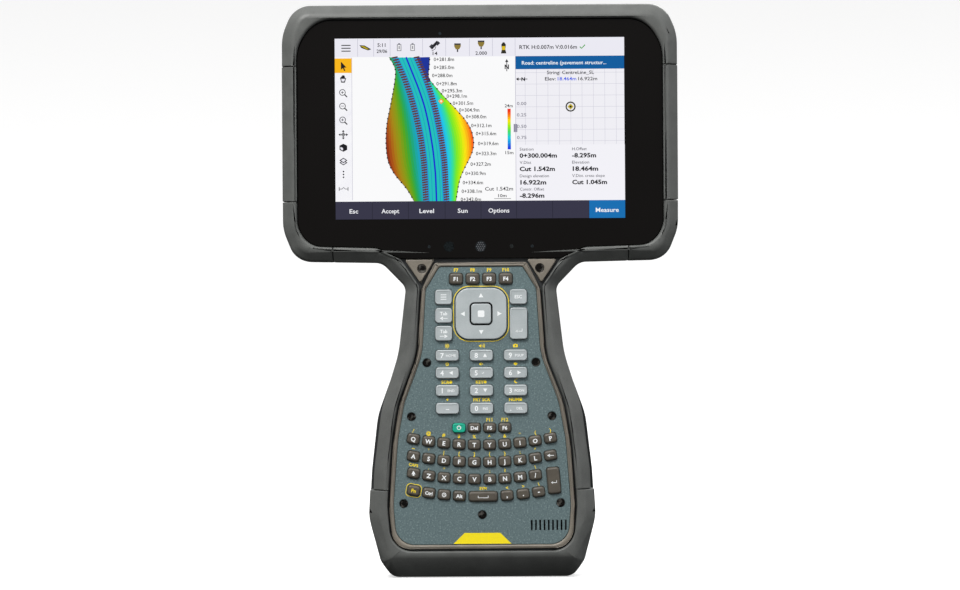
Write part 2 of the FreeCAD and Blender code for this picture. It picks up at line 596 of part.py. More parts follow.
def make_rear_housing():
    body = new_body("rear_housing")
    shell = outline_slab(body, "case", "shell", "shell_back", "flange_back")
    front_chamfer(body, shell, "shell_back", "shell_chamfer_across", "shell_chamfer_deep")
    hump = outline_slab(body, "grip_hump", "hump", "hump_back", "shell_back + 1")
    front_fillet(body, hump, "hump_back", "4")
    bay = slab(body, "battery_bay", lambda sketch: rounded_rectangle(
        sketch, "bay_width", "bay_height", "bay_corner", "0", "bay_up"), "bay_back", "shell_back + 0.5")
    front_chamfer(body, bay, "bay_back", "1.2", "1.2")
    outline_cut(body, "case_space", "cavity", "shell_wall_back", "flange_back")
    for name, across in (("left", "- pack_across"), ("right", "pack_across")):
        cut(body, f"{name}_pack_recess", lambda sketch: rounded_rectangle(
            sketch, "pack_width + 2 * pack_gap", "pack_height + 2 * pack_gap", "pack_corner", across, "pack_up"),
            "bay_back - 1", "pack_front")
        cut(body, f"{name}_latch_slot", lambda sketch: rectangle(
            sketch, f"{across} - latch_slot_width / 2", f"{across} + latch_slot_width / 2", "latch_slot_low",
            "latch_slot_high"), "bay_back - 1", "latch_slot_front")
    cut(body, "module_recess", lambda sketch: rounded_rectangle(
        sketch, "module_width + 2 * pack_gap", "module_height + 2 * pack_gap", "4", "0", "module_up"),
        "bay_back - 1", "module_front")
    cut(body, "camera_recess", lambda sketch: circle(sketch, 0, "camera_up", "camera_recess_radius"),
        "shell_back - 0.5", "camera_front")
    cut(body, "rear_screw_recesses", lambda sketch: circles(sketch, REAR_SCREWS, "rear_recess_radius"),
        "shell_back - 0.5", "rear_seat")
    cut(body, "rear_screw_holes", lambda sketch: circles(sketch, REAR_SCREWS, "rear_hole_radius"),
        "shell_back", "flange_back")
    cut(body, "port_recess", lambda sketch: rectangle(
        sketch, "- port_front", "- port_back", "port_up - port_high / 2", "port_up + port_high / 2"),
        "head_half_width - port_deep", "head_half_width + 1", "YZ_Plane")
    cut(body, "port_window", lambda sketch: rectangle(
        sketch, "- port_window_front", "- port_window_back", "port_up - port_window_high / 2",
        "port_up + port_window_high / 2"), "head_half_width - 12", "head_half_width", "YZ_Plane")
    cut(body, "hinge_holes", lambda sketch: circle(sketch, "hinge_across", "- hinge_forward", "hinge_bore_radius"),
        "port_up - hinge_bore_half", "port_up + hinge_bore_half", "XY_Plane")
    cut_shoe_space(body)
    return body


def make_keypad_rim():
    body = new_body("keypad_rim")
    ring = outline_slab(body, "rim", "plate", "ledge_front", "rim_front", "rim_width")
    front_chamfer(body, ring, "rim_front", "0.6", "0.6")
    outline_cut(body, "rim_opening", "plate", "ledge_front - 1", "rim_front + 1", "plate_gap")
    return body


def make_gusset_plates():
    plates = []
    for side, name in ((1, "right"), (-1, "left")):
        body = new_body(f"{name}_gusset")
        corners = [(side * across, up, radius, str(side * across), str(up), str(radius))
                   for across, up, radius in GUSSET]
        plate = slab(body, f"{name}_gusset_plate", lambda sketch: rounded_outline(sketch, corners),
                     "ledge_front", "gusset_front")
        front_chamfer(body, plate, "gusset_front", "0.3", "0.3")
        screw = [(side * GUSSET_SCREWS[0][0], GUSSET_SCREWS[0][1])]
        cut(body, f"{name}_gusset_recess", lambda sketch: circles(sketch, screw, "screw_recess_radius"),
            "screw_seat", "gusset_front")
        cut(body, f"{name}_gusset_hole", lambda sketch: circles(sketch, screw, "screw_hole_radius"),
            "ledge_front", "gusset_front")
        plates.append(body)
    return group("gusset_plates", plates)


def make_keypad_plate(keys):
    body = new_body("keypad_plate_blank")
    plate = outline_slab(body, "plate_sheet", "plate", "ledge_front", "plate_front")
    front_chamfer(body, plate, "plate_front", "0.3", "0.3")
    cut(body, "ring_opening", lambda sketch: rounded_rectangle(
        sketch, "ring_size + 2 * ring_gap", "ring_size + 2 * ring_gap", "ring_corner", "0", "ring_up"),
        "ledge_front", "plate_front")
    cut(body, "plate_screw_recesses", lambda sketch: circles(sketch, PLATE_SCREWS, "screw_recess_radius"),
        "screw_seat", "plate_front")
    cut(body, "plate_screw_holes", lambda sketch: circles(sketch, PLATE_SCREWS, "screw_hole_radius"),
        "ledge_front", "plate_front")
    cut(body, "speaker_slots", draw_speaker_slots, "ledge_front", "plate_front")
    openings = group("key_openings", [key.opening() for key in keys])
    pierced = doc.addObject("Part::Cut", "keypad_plate")
    pierced.Label = "keypad_plate"
    pierced.Base = body
    pierced.Tool = openings
    doc.recompute()
    return pierced


def draw_speaker_slots(sketch):
    for number in range(9):
        middle = f"slot_first + {number} * slot_pitch"
        rectangle(sketch, f"{middle} - slot_width / 2", f"{middle} + slot_width / 2",
                  "slot_up - slot_height / 2", "slot_up + slot_height / 2")


def make_keypad_mat(keys):
    body = new_body("keypad_mat")
    outline_slab(body, "mat_sheet", "mat", "board_front", "mat_front")

    def stem_holes(sketch):
        for key in keys:
            circle(sketch, key.across, key.up, "stem_hole_radius")

    cut(body, "mat_stem_holes", stem_holes, "board_front", "mat_front")
    cut(body, "mat_boss_holes", lambda sketch: circles(sketch, PLATE_SCREWS, "boss_radius + boss_gap"),
        "board_front", "mat_front")
    return body


def make_keypad_board():
    body = new_body("keypad_board")
    outline_slab(body, "board_sheet", "mat", "floor_front", "board_front")
    cut(body, "board_boss_holes", lambda sketch: circles(sketch, PLATE_SCREWS, "boss_radius + boss_gap"),
        "floor_front", "board_front")
    return body


def make_main_board():
    body = new_body("main_board")
    slab(body, "main_board_sheet", lambda sketch: rounded_rectangle(
        sketch, "main_board_width", "main_board_height", "3", "0", "main_board_up"),
        "main_board_back", "main_board_front")
    for name, across, up, width, height in (("processor", -20, 240, 30, 30), ("memory", 30, 250, 22, 14),
                                            ("radio", 40, 215, 26, 20)):
        slab(body, name, lambda sketch: rounded_rectangle(sketch, str(width), str(height), "1", str(across), str(up)),
             "chip_back", "main_board_back")
    return body


def make_display():
    glass = new_body("display_glass")
    sheet_glass = outline_slab(glass, "cover_glass", "glass", "ledge_front", "glass_front")
    front_chamfer(glass, sheet_glass, "glass_front", "0.4", "0.4")
    panel = new_body("display_panel")
    slab(panel, "panel", lambda sketch: rounded_rectangle(
        sketch, "panel_width", "panel_height", "0.8", "0", "panel_up"), "panel_back", "ledge_front")
    return [glass, panel]


def span_box(name, left, right, low, high, back, front):
    """Plain box between six offsets, used to part the bumper ring into its pieces."""
    box = doc.addObject("Part::Box", name)
    box.setExpression("Length", f"{cell(right)} - ({cell(left)})")
    box.setExpression("Width", f"{cell(front)} - ({cell(back)})")
    box.setExpression("Height", f"{cell(high)} - ({cell(low)})")
    box.setExpression("Placement.Base.x", cell(left))
    box.setExpression("Placement.Base.y", f"-({cell(front)})")
    box.setExpression("Placement.Base.z", cell(low))
    doc.recompute()
    return box


def bumper_ring(name, outline):
    """Ring with its long outer slope, as wide as the space left round the glass and keypad."""
    outer = new_body(f"{name}_outer")
    pad = outline_slab(outer, f"{name}_pad", outline, "bumper_back", "bumper_front")
    front_chamfer(outer, pad, "bumper_front", "bumper_facet_across", "bumper_facet_deep")
    inner = new_body(f"{name}_inner")
    core = outline_slab(inner, f"{name}_core", "inner", "bumper_back - 1", "bumper_front + 1")
    ring = doc.addObject("Part::Cut", name)
    ring.Base = outer
    ring.Tool = inner
    doc.recompute()
    return ring


def piece(name, ring, *edges):
    """The part of a ring inside a box."""
    common = doc.addObject("Part::Common", name)
    common.Label = name
    common.Base = ring
    common.Tool = span_box(f"{name}_span", *edges)
    doc.recompute()
    return common


def make_bumpers():
    ring = bumper_ring("bumper_ring", "bumper")
    depth = ("bumper_back - 1", "bumper_front + 1")
    half_gap = "split_gap / 2"
    parts = [piece("top_bumper", ring, "- 110", "110", f"upper_split + {half_gap}", "310", *depth)]
    for side, left, right in (("right", "60", "110"), ("left", "- 110", "- 60")):
        parts.append(piece(f"{side}_bumper", ring, left, right, f"lower_split + {half_gap}",
                           f"upper_split - {half_gap}", *depth))
    for side, left, right in (("right", f"underside_split + {half_gap}", "110"),
                              ("left", "- 110", f"- underside_split - {half_gap}")):
        parts.append(piece(f"lower_{side}_bumper", ring, left, right, "150", f"lower_split - {half_gap}", *depth))
    for side, left, right in (("right", "10", f"underside_split - {half_gap}"),
                              ("left", f"- underside_split + {half_gap}", "- 10")):
        parts.append(piece(f"{side}_grip_bumper", ring, left, right, f"grip_split + {half_gap}", "180", *depth))
    base_ring = bumper_ring("base_ring", "shell")
    cap = piece("base_cap", base_ring, "- 110", "110", "- 1", f"grip_split - {half_gap}", *depth)
    shoe = span_box("base_shoe", "- shoe_half_width", "shoe_half_width", "0", "shoe_top", "shoe_back", "bumper_back")
    base = doc.addObject("Part::Fuse", "base_cap_and_shoe")
    base.Base = cap
    base.Tool = shoe
    doc.recompute()
    sloped = doc.addObject("Part::Cut", "base_bumper")
    sloped.Label = "base_bumper"
    sloped.Base = base
    sloped.Tool = make_base_slope()
    doc.recompute()
    parts.append(sloped)
    return parts


def make_base_slope():
    """Wedge taken off the lower front edge of the base, from part way up the face to part way under the foot."""
    body = new_body("base_slope")
    low = number_of(cell("- bumper_front - 2"))
    back = number_of(cell("- base_slope_back"))
    high = number_of(cell("base_slope_up + 2.47"))
    points = [(low, -2.0), (low, high), (back, 0.0), (back, -2.0)]
    cells = [("- bumper_front - 2", "- 2"), ("- bumper_front - 2", "base_slope_up + 2.47"),
             ("- base_slope_back", "0"), ("- base_slope_back", "- 2")]

    def draw(sketch):
        corners = [Vector(y, z, 0) for y, z in points]
        sketch.addGeometry([Part.LineSegment(corners[i], corners[(i + 1) % 4]) for i in range(4)], False)
        bonds = [(Sketcher.Constraint("Coincident", i, 2, (i + 1) % 4, 1), None) for i in range(4)]
        for i in range(4):
            bonds.extend(point_bonds(i, 1, cell(cells[i][0]), cell(cells[i][1]), points[i]))
        bind(sketch, bonds)

    slab(body, "base_wedge", draw, "- 70", "70", "YZ_Plane")
    return body


def make_screw(name, across, up, seat, kind, backwards):
    """Pan-head screw with a hexagonal drive; its head stands forward of the seat, or behind it."""
    body = new_body(name)
    slab(body, f"{name}_shank", lambda sketch: circle(sketch, 0, 0, f"{kind}_shank_radius"),
         f"- {kind}_length" if kind == "screw" else "- rear_screw_length", "0", "XY_Plane")
    head = slab(body, f"{name}_head", lambda sketch: circle(sketch, 0, 0, f"{kind}_head_radius"), "0",
                f"{kind}_head_high", "XY_Plane")
    cut(body, f"{name}_drive", lambda sketch: circle(sketch, 0, 0, "screw_drive_radius"),
        f"{kind}_head_high - screw_drive_deep", f"{kind}_head_high", "XY_Plane")
    body.Placement = Placement(Vector(0, 0, 0), Rotation(Vector(1, 0, 0), -90 if backwards else 90))
    body.setExpression("Placement.Base.x", str(across))
    body.setExpression("Placement.Base.y", f"-({cell(seat)})")
    body.setExpression("Placement.Base.z", str(up))
    return body


def make_screws():
    front = [make_screw(f"front_screw_{number}", across, up, "screw_seat", "screw", False)
             for number, (across, up) in enumerate(PLATE_SCREWS + GUSSET_SCREWS, start=1)]
    rear = [make_screw(f"rear_screw_{number}", across, up, "rear_seat", "rear", True)
            for number, (across, up) in enumerate(REAR_SCREWS, start=1)]
    return [group("front_screws", front), group("rear_screws", rear)]


def make_navigation():
    ring = new_body("navigation_ring")
    pad = slab(ring, "ring_pad", lambda sketch: rounded_rectangle(sketch, "ring_size", "ring_size", "ring_corner",
               "0", "ring_up"), "ring_back", "ring_front")
    front_fillet(ring, pad, "ring_front", "0.6")
    cut(ring, "ring_window", lambda sketch: rounded_rectangle(sketch, "ring_window", "ring_window",
        "ring_window_corner", "0", "ring_up"), "ring_back", "ring_front")
    select = new_body("select_key")
    pad = slab(select, "select_pad", lambda sketch: rounded_rectangle(sketch, "select_size", "select_size",
               "select_corner", "0", "ring_up"), "select_back", "select_front")
    front_fillet(select, pad, "select_front", "0.5")
    pivot = new_body("navigation_pivot")
    slab(pivot, "pivot_pad", lambda sketch: rounded_rectangle(sketch, "pivot_size", "pivot_size", "2",
         "0", "ring_up"), "pivot_back", "pivot_front")
    cut(pivot, "pivot_window", lambda sketch: rounded_rectangle(sketch, "pivot_window", "pivot_window", "1.5",
        "0", "ring_up"), "pivot_back", "pivot_front")
    return [ring, select, pivot]


def make_battery(side, across):
    body = new_body(f"{side}_battery")
    pack = slab(body, f"{side}_pack", lambda sketch: rounded_rectangle(
        sketch, "pack_width", "pack_height", "pack_corner", across, "pack_up"), "pack_back", "pack_front")
    front_fillet(body, pack, "pack_back", "1.6")

    def grooves(sketch):
        for number in range(4):
            middle = f"pack_up - 14 - {number} * pack_groove_pitch"
            rectangle(sketch, f"{across} - 17", f"{across} + 17", f"{middle} - pack_groove_high / 2",
                      f"{middle} + pack_groove_high / 2")

    cut(body, f"{side}_pack_grooves", grooves, "pack_back", "pack_back + pack_groove_deep")
    return body


def make_latch(side, across):
    body = new_body(f"{side}_battery_latch")
    button = slab(body, f"{side}_latch_button", lambda sketch: rectangle(
        sketch, f"{across} - latch_width / 2", f"{across} + latch_width / 2", "latch_up - latch_height / 2",
        "latch_up + latch_height / 2"), "latch_back", "latch_front")
    front_chamfer(body, button, "latch_back", "0.6", "0.6")
    return body


def make_radio_module():
    body = new_body("radio_module")
    module = slab(body, "module_cover", lambda sketch: rounded_rectangle(
        sketch, "module_width", "module_height", "3.6", "0", "module_up"), "pack_back + 1", "module_front")
    front_chamfer(body, module, "pack_back + 1", "1.5", "1.5")
    cut(body, "module_panel", lambda sketch: rounded_rectangle(sketch, "module_width - 16", "module_height - 30", "3",
        "0", "module_up + 4"), "pack_back + 1", "pack_back + 1.5")
    return body


def make_hand_strap():
    body = new_body("hand_strap")
    corners = [(size(alias), up, radius, f"Sizes.{alias}", str(up), str(radius))
               for (alias, up), radius in zip(STRAP_SIDE, STRAP_ROUND)]
    slab(body, "strap_band", lambda sketch: rounded_outline(sketch, corners), "- strap_width / 2", "strap_width / 2",
         "YZ_Plane")
    return body


def make_strap_clamps():
    clamps = []
    for name in ("low", "high"):
        body = new_body(f"{name}_clamp")
        up = f"clamp_{name}_up"
        bar = slab(body, f"{name}_clamp_bar", lambda sketch: rounded_rectangle(
            sketch, "clamp_width", "clamp_height", "1.5", "0", up), "clamp_back", "hump_back")
        front_chamfer(body, bar, "clamp_back", "0.6", "0.6")
        cut(body, f"{name}_clamp_channel", lambda sketch: rectangle(
            sketch, "- clamp_channel / 2", "clamp_channel / 2", f"{up} - 10", f"{up} + 10"),
            "clamp_channel_back", "hump_back")
        clamps.append(body)
    return group("strap_clamps", clamps)


def make_port_door():
    body = new_body("port_door")
    slab(body, "door_leaf", lambda sketch: rectangle(
        sketch, "- door_front", "- hinge_forward", "port_up - port_high / 2 + door_gap",
        "port_up + port_high / 2 - door_gap"), "head_half_width - door_thick - 0.1", "head_half_width - 0.1",
        "YZ_Plane")
    slab(body, "door_barrel", lambda sketch: circle(sketch, "hinge_across", "- hinge_forward", "barrel_radius"),
         "port_up - port_high / 2 + door_gap", "port_up + port_high / 2 - door_gap", "XY_Plane")
    cut(body, "door_bore", lambda sketch: circle(sketch, "hinge_across", "- hinge_forward", "hinge_bore_radius"),
        "port_up - port_high / 2", "port_up + port_high / 2", "XY_Plane")
    pin = new_body("port_hinge_pin")
    slab(pin, "hinge_pin", lambda sketch: circle(sketch, "hinge_across", "- hinge_forward", "hinge_pin_radius"),
         "port_up - hinge_pin_half", "port_up + hinge_pin_half", "XY_Plane")
    return [body, pin]


def make_port_block():
    body = new_body("port_block")
    face = "head_half_width - port_deep - port_block_shift"
    slab(body, "port_body", lambda sketch: rectangle(
        sketch, "- port_window_front + port_block_gap", "- port_window_back - port_block_gap",
        "port_up - port_window_high / 2 + port_block_gap", "port_up + port_window_high / 2 - port_block_gap"),
        f"{face} - port_block_deep", face, "YZ_Plane")
    for name in ("wide", "small"):
        cut(body, f"{name}_socket", lambda sketch: rectangle(
            sketch, f"- socket_middle - {name}_socket_high / 2", f"- socket_middle + {name}_socket_high / 2",
            f"{name}_socket_up - {name}_socket_width / 2", f"{name}_socket_up + {name}_socket_width / 2"),
            f"{face} - socket_deep", face, "YZ_Plane")
    cut(body, "power_inlet", lambda sketch: circle(sketch, "- socket_middle", "inlet_up", "inlet_radius"),
        f"{face} - inlet_deep", face, "YZ_Plane")
    return body


def make_camera_window():
    body = new_body("camera_window")
    slab(body, "camera_lens", lambda sketch: circle(sketch, 0, "camera_up", "camera_radius"),
         "camera_back", "camera_front")
    return body


def make_speaker():
    body = new_body("speaker")
    slab(body, "speaker_body", lambda sketch: rounded_rectangle(
        sketch, "speaker_width", "speaker_height", "2", "speaker_across", "slot_up"), "floor_front", "speaker_front")
    return body


def write_parts(parts):
    """Check every object, then write one file for each sub-part."""
    for thing in doc.Objects:
        if "Invalid" in thing.State or "Error" in thing.State:
            raise RuntimeError(f"{thing.Name} did not build")
    for part in parts:
        if part.Shape.isNull() or not part.Shape.isValid():
            raise RuntimeError(f"{part.Label} has no valid shape")
        if not part.Shape.Solids:
            raise RuntimeError(f"{part.Label} has no solid")
        part.Shape.exportStep(f"parts/{part.Label}.step")


fill_sheet()
single_keys = [named_key(name) for name in KEYS]
single_keys.append(Key("letter_enter_key", str(LETTER_ENTER[0]), str(LETTER_ENTER[1]), str(LETTER_ENTER[2]),
                       str(LETTER_ENTER[3]), LETTER_ENTER_TURN, "letter_cap_front"))
key_rows = letter_rows()
key_rows["function_keys"] = plain_keys("function_key", FUNCTION_KEYS)
key_rows["edit_keys"] = plain_keys("edit_key", EDIT_KEYS)
all_keys = single_keys + [key for members in key_rows.values() for key in members]

parts = [make_front_housing(), make_rear_housing(), make_keypad_rim(), make_gusset_plates()]
parts.append(make_keypad_plate(all_keys))
parts.append(make_keypad_mat(all_keys))
parts.append(make_keypad_board())
parts.append(make_main_board())
parts.extend(make_display())
parts.extend(make_bumpers())
parts.extend(make_screws())
parts.extend(make_navigation())
parts.extend([make_battery("left", "- pack_across"), make_battery("right", "pack_across")])
parts.extend([make_latch("left", "- pack_across"), make_latch("right", "pack_across")])
parts.extend([make_radio_module(), make_hand_strap(), make_strap_clamps()])
parts.extend(make_port_door())
parts.extend([make_port_block(), make_camera_window(), make_speaker()])
parts.extend(make_keys(single_keys, key_rows))
doc.recompute()
write_parts(parts)
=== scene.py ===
import json
import math

import bmesh
import bpy
import numpy as np
from mathutils import Matrix, Vector

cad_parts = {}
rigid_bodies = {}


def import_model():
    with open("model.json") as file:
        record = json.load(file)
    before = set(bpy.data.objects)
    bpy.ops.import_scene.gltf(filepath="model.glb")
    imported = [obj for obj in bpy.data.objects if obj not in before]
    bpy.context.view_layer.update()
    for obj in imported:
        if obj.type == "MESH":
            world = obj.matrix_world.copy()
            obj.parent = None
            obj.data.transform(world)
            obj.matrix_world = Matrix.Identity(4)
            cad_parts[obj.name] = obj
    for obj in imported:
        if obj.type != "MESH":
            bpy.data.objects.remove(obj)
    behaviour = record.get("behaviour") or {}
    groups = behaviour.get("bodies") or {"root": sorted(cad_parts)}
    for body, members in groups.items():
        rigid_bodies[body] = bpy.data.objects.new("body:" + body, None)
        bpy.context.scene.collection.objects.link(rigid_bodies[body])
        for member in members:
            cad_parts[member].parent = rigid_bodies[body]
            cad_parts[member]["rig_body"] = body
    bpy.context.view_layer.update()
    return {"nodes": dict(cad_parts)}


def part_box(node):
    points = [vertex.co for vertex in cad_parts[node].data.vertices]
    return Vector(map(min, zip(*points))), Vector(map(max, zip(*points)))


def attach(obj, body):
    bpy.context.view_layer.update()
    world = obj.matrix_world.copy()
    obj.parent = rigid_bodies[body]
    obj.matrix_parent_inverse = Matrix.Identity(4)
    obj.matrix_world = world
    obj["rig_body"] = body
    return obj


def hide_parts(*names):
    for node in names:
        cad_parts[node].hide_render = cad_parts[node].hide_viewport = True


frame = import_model()
scene = bpy.context.scene
nodes = frame["nodes"]
MM = 0.001


# ---------------------------------------------------------------- camera, floor and lights

PICTURE_WIDTH = 501.6           # mm across the view at the face of the case
LENS, SENSOR = 100.0, 36.0      # focal length and sensor width, mm
FACE = -20.0                    # depth of that face
VIEW_ACROSS, VIEW_UP = -0.5, 147.35     # middle of the view, mm
LEAN = 0.36                     # degrees that the case leans to the left of the upright
LAMP_AIM = (0, 0, 0.15)
# Name, place and size in metres, power in watts and tint of each lamp.
LAMPS = [("key_light", (-0.55, -1.0, 1.35), (0.45, 0.45), 24, (1.0, 0.99, 0.97)),
         ("fill_light", (1.3, -1.1, 0.6), (0.8, 1.0), 6, (0.97, 0.98, 1.0)),
         ("back_light", (0.6, 1.3, 1.3), (0.8, 0.8), 18, (1.0, 1.0, 1.0))]


def place_object(name, data):
    """Object that shows the data, linked to the scene at the origin."""
    shown = bpy.data.objects.new(name, data)
    scene.collection.objects.link(shown)
    return shown


def make_mesh(name, points, faces):
    """Mesh of the points, in metres, and the faces that join them by number."""
    mesh = bpy.data.meshes.new(name)
    mesh.from_pydata(points.tolist(), [], faces)
    mesh.update()
    return mesh


def make_camera():
    """Long lens square to the screen, set back so that the view is PICTURE_WIDTH wide at the face."""
    data = bpy.data.cameras.new("camera")
    data.lens, data.sensor_width = LENS, SENSOR
    data.clip_start, data.clip_end = 0.05, 30
    camera = place_object("camera", data)
    back = PICTURE_WIDTH * LENS / SENSOR
    place = Vector((VIEW_ACROSS, FACE - back, VIEW_UP)) * MM
    camera.matrix_world = (Matrix.Translation(place) @ Matrix.Rotation(math.pi / 2, 4, "X")
                           @ Matrix.Rotation(-math.radians(LEAN), 4, "Z"))
    scene.camera = camera


def make_area_light(name, place, size, power, colour):
    """Rectangular lamp turned towards LAMP_AIM."""
    data = bpy.data.lights.new(name, "AREA")
    data.shape, data.size, data.size_y = "RECTANGLE", size[0], size[1]
    data.energy, data.color = power, colour
    lamp = place_object(name, data)
    turn = (Vector(LAMP_AIM) - Vector(place)).to_track_quat("-Z", "Y")
    lamp.matrix_world = Matrix.Translation(place) @ turn.to_matrix().to_4x4()


def make_lights():
    """Soft sky that fades to almost nothing below the horizon, a key light high at the left, a weak fill at
    the right and a light on the back."""
    world = bpy.data.worlds.new("studio")
    world.use_nodes = True
    tree = world.node_tree
    tree.nodes.clear()
    direction = add(tree, "TexCoord").outputs["Generated"]
    height = add(tree, "SeparateXYZ", {0: direction}).outputs["Z"]
    sky = add(tree, "MapRange", {0: height, 1: -0.25, 2: 1.0, 3: 0.06, 4: 1.25})
    light = add(tree, "Background", {"Color": (1.0, 1.0, 1.0, 1.0), "Strength": sky.outputs[0]})
    add(tree, "OutputWorld", {"Surface": light.outputs[0]})
    scene.world = world
    for lamp in LAMPS:
        make_area_light(*lamp)
    scene.view_settings.view_transform = "Standard"
    scene.view_settings.look = "None"


# ---------------------------------------------------------------- materials

def linear(code):
    """sRGB hex to linear: c / 12.92 up to 0.04045, and ((c + 0.055) / 1.055) ^ 2.4 above it."""
    channels = [int(code[i:i + 2], 16) / 255 for i in (0, 2, 4)]
    return (*[c / 12.92 if c <= 0.04045 else ((c + 0.055) / 1.055) ** 2.4 for c in channels], 1.0)


def add(tree, kind, inputs=None, **settings):
    """One shader node: its settings, then each input by name or number, linked if it is a socket and set if
    not."""
    new = tree.nodes.new(f"ShaderNode{kind}")
    for name, value in settings.items():
        setattr(new, name, value)
    for key, value in (inputs or {}).items():
        if isinstance(value, bpy.types.NodeSocket):
            tree.links.new(value, new.inputs[key])
        else:
            new.inputs[key].default_value = value
    return new


def new_tree(name):
    """New material and its empty node tree."""
    material = bpy.data.materials.new(name)
    material.use_nodes = True
    material.node_tree.nodes.clear()
    return material, material.node_tree


def per_mm(size):
    """Pattern scale for features about `size` mm across."""
    return 1.0 / (size * MM)


def finish_material(tree, shader):
    """Link the shader to the material's surface."""
    add(tree, "OutputMaterial", {"Surface": shader.outputs["BSDF"]})


def moulded(name, dark, light, roughness, grain, depth, patch=9.0, **sockets):
    """Moulded surface: the colour drifts from dark to light over patches `patch` mm across with a little of
    the grain in it, and the grain, `grain` mm across, is raised by `depth` mm."""
    material, tree = new_tree(name)
    place = add(tree, "TexCoord").outputs["Object"]
    cloud = add(tree, "TexNoise", {"Vector": place, "Scale": per_mm(patch), "Detail": 3.0})
    fine = add(tree, "TexNoise", {"Vector": place, "Scale": per_mm(grain), "Detail": 2.0})
    both = add(tree, "Math", {0: cloud.outputs["Fac"], 1: 0.55}, operation="MULTIPLY")
    mixed = add(tree, "Math", {0: fine.outputs["Fac"], 1: 0.45, 2: both.outputs[0]},
                operation="MULTIPLY_ADD")
    spread = add(tree, "MapRange", {0: mixed.outputs[0], 1: 0.36, 2: 0.64})
    shade = add(tree, "Mix", {0: spread.outputs[0], 6: linear(dark), 7: linear(light)},
                data_type="RGBA")
    worn = add(tree, "MapRange",
               {0: cloud.outputs["Fac"], 1: 0.3, 2: 0.7, 3: roughness - 0.04, 4: roughness + 0.05})
    bump = add(tree, "Bump", {"Height": fine.outputs["Fac"], "Distance": depth * MM,
                                        "Strength": 0.8})
    shader = add(tree, "BsdfPrincipled",
                 {"Base Color": shade.outputs[2], "Roughness": worn.outputs[0],
                  "Normal": bump.outputs[0], **sockets})
    finish_material(tree, shader)
    return material


PLATE = "5e6f73"                # mean colour of the keypad plate


def speckled_plate():
    """Polycarbonate moulded with mica flake: blue-grey with a fine mottle and pale specks. The flakes are
    0.2 mm and are drawn 0.8 mm apart in patches so that they show."""
    material, tree = new_tree("mica_flecked_polycarbonate")
    place = add(tree, "TexCoord").outputs["Object"]
    cloud = add(tree, "TexNoise", {"Vector": place, "Scale": per_mm(1.6), "Detail": 4.0,
                                             "Roughness": 0.7})
    ground = add(tree, "MapRange", {0: cloud.outputs["Fac"], 1: 0.3, 2: 0.7})
    base = add(tree, "Mix", {0: ground.outputs[0], 6: linear("55676a"), 7: linear("647779")},
               data_type="RGBA")
    flakes = add(tree, "TexNoise", {"Vector": place, "Scale": per_mm(0.8), "Detail": 1.0})
    pale = add(tree, "MapRange", {0: flakes.outputs["Fac"], 1: 0.58, 2: 0.7, 3: 0.0, 4: 0.5})
    lit = add(tree, "Mix", {0: pale.outputs[0], 6: base.outputs[2], 7: linear("8b9ea0")},
              data_type="RGBA")
    deep = add(tree, "MapRange", {0: flakes.outputs["Fac"], 1: 0.4, 2: 0.3, 3: 0.0, 4: 0.45})
    shade = add(tree, "Mix", {0: deep.outputs[0], 6: lit.outputs[2], 7: linear("46565a")},
                data_type="RGBA")
    bump = add(tree, "Bump", {"Height": flakes.outputs["Fac"], "Distance": 0.05 * MM,
                                        "Strength": 0.7})
    shader = add(tree, "BsdfPrincipled",
                 {"Base Color": shade.outputs[2], "Roughness": 0.52, "Normal": bump.outputs[0]})
    finish_material(tree, shader)
    return material


def cover_glass():
    """Toughened glass with a black printed border: deep, almost black, with a sharp reflection and the
    faintest smear in it."""
    material, tree = new_tree("black_bordered_toughened_glass")
    place = add(tree, "TexCoord").outputs["Object"]
    smear = add(tree, "TexNoise", {"Vector": place, "Scale": per_mm(45), "Detail": 3.0})
    rough = add(tree, "MapRange", {0: smear.outputs["Fac"], 1: 0.3, 2: 0.7, 3: 0.07, 4: 0.16})
    tint = add(tree, "Mix", {0: smear.outputs["Fac"], 6: linear("0b0908"), 7: linear("0f0d0c")},
               data_type="RGBA")
    shader = add(tree, "BsdfPrincipled",
                 {"Base Color": tint.outputs[2], "Roughness": rough.outputs[0],
                  "Specular IOR Level": 0.16, "IOR": 1.52})
    finish_material(tree, shader)
    return material


def printed_ink(name, roughness, specular):
    """Screen-printed enamel ink: each shape has its own colour, with a slight unevenness of the print."""
    material, tree = new_tree(name)
    paint = add(tree, "Attribute", attribute_name="paint")
    place = add(tree, "TexCoord").outputs["Object"]
    mottle = add(tree, "TexNoise", {"Vector": place, "Scale": per_mm(0.5), "Detail": 2.0})
    thin = add(tree, "MapRange", {0: mottle.outputs["Fac"], 1: 0.3, 2: 0.7, 3: 0.12, 4: 0.0})
    shade = add(tree, "Mix", {0: thin.outputs[0], 6: paint.outputs["Color"], 7: linear(PLATE)},
                data_type="RGBA")
    shader = add(tree, "BsdfPrincipled", {"Base Color": shade.outputs[2], "Roughness": roughness,
                                                    "Specular IOR Level": specular})
    finish_material(tree, shader)
    return material


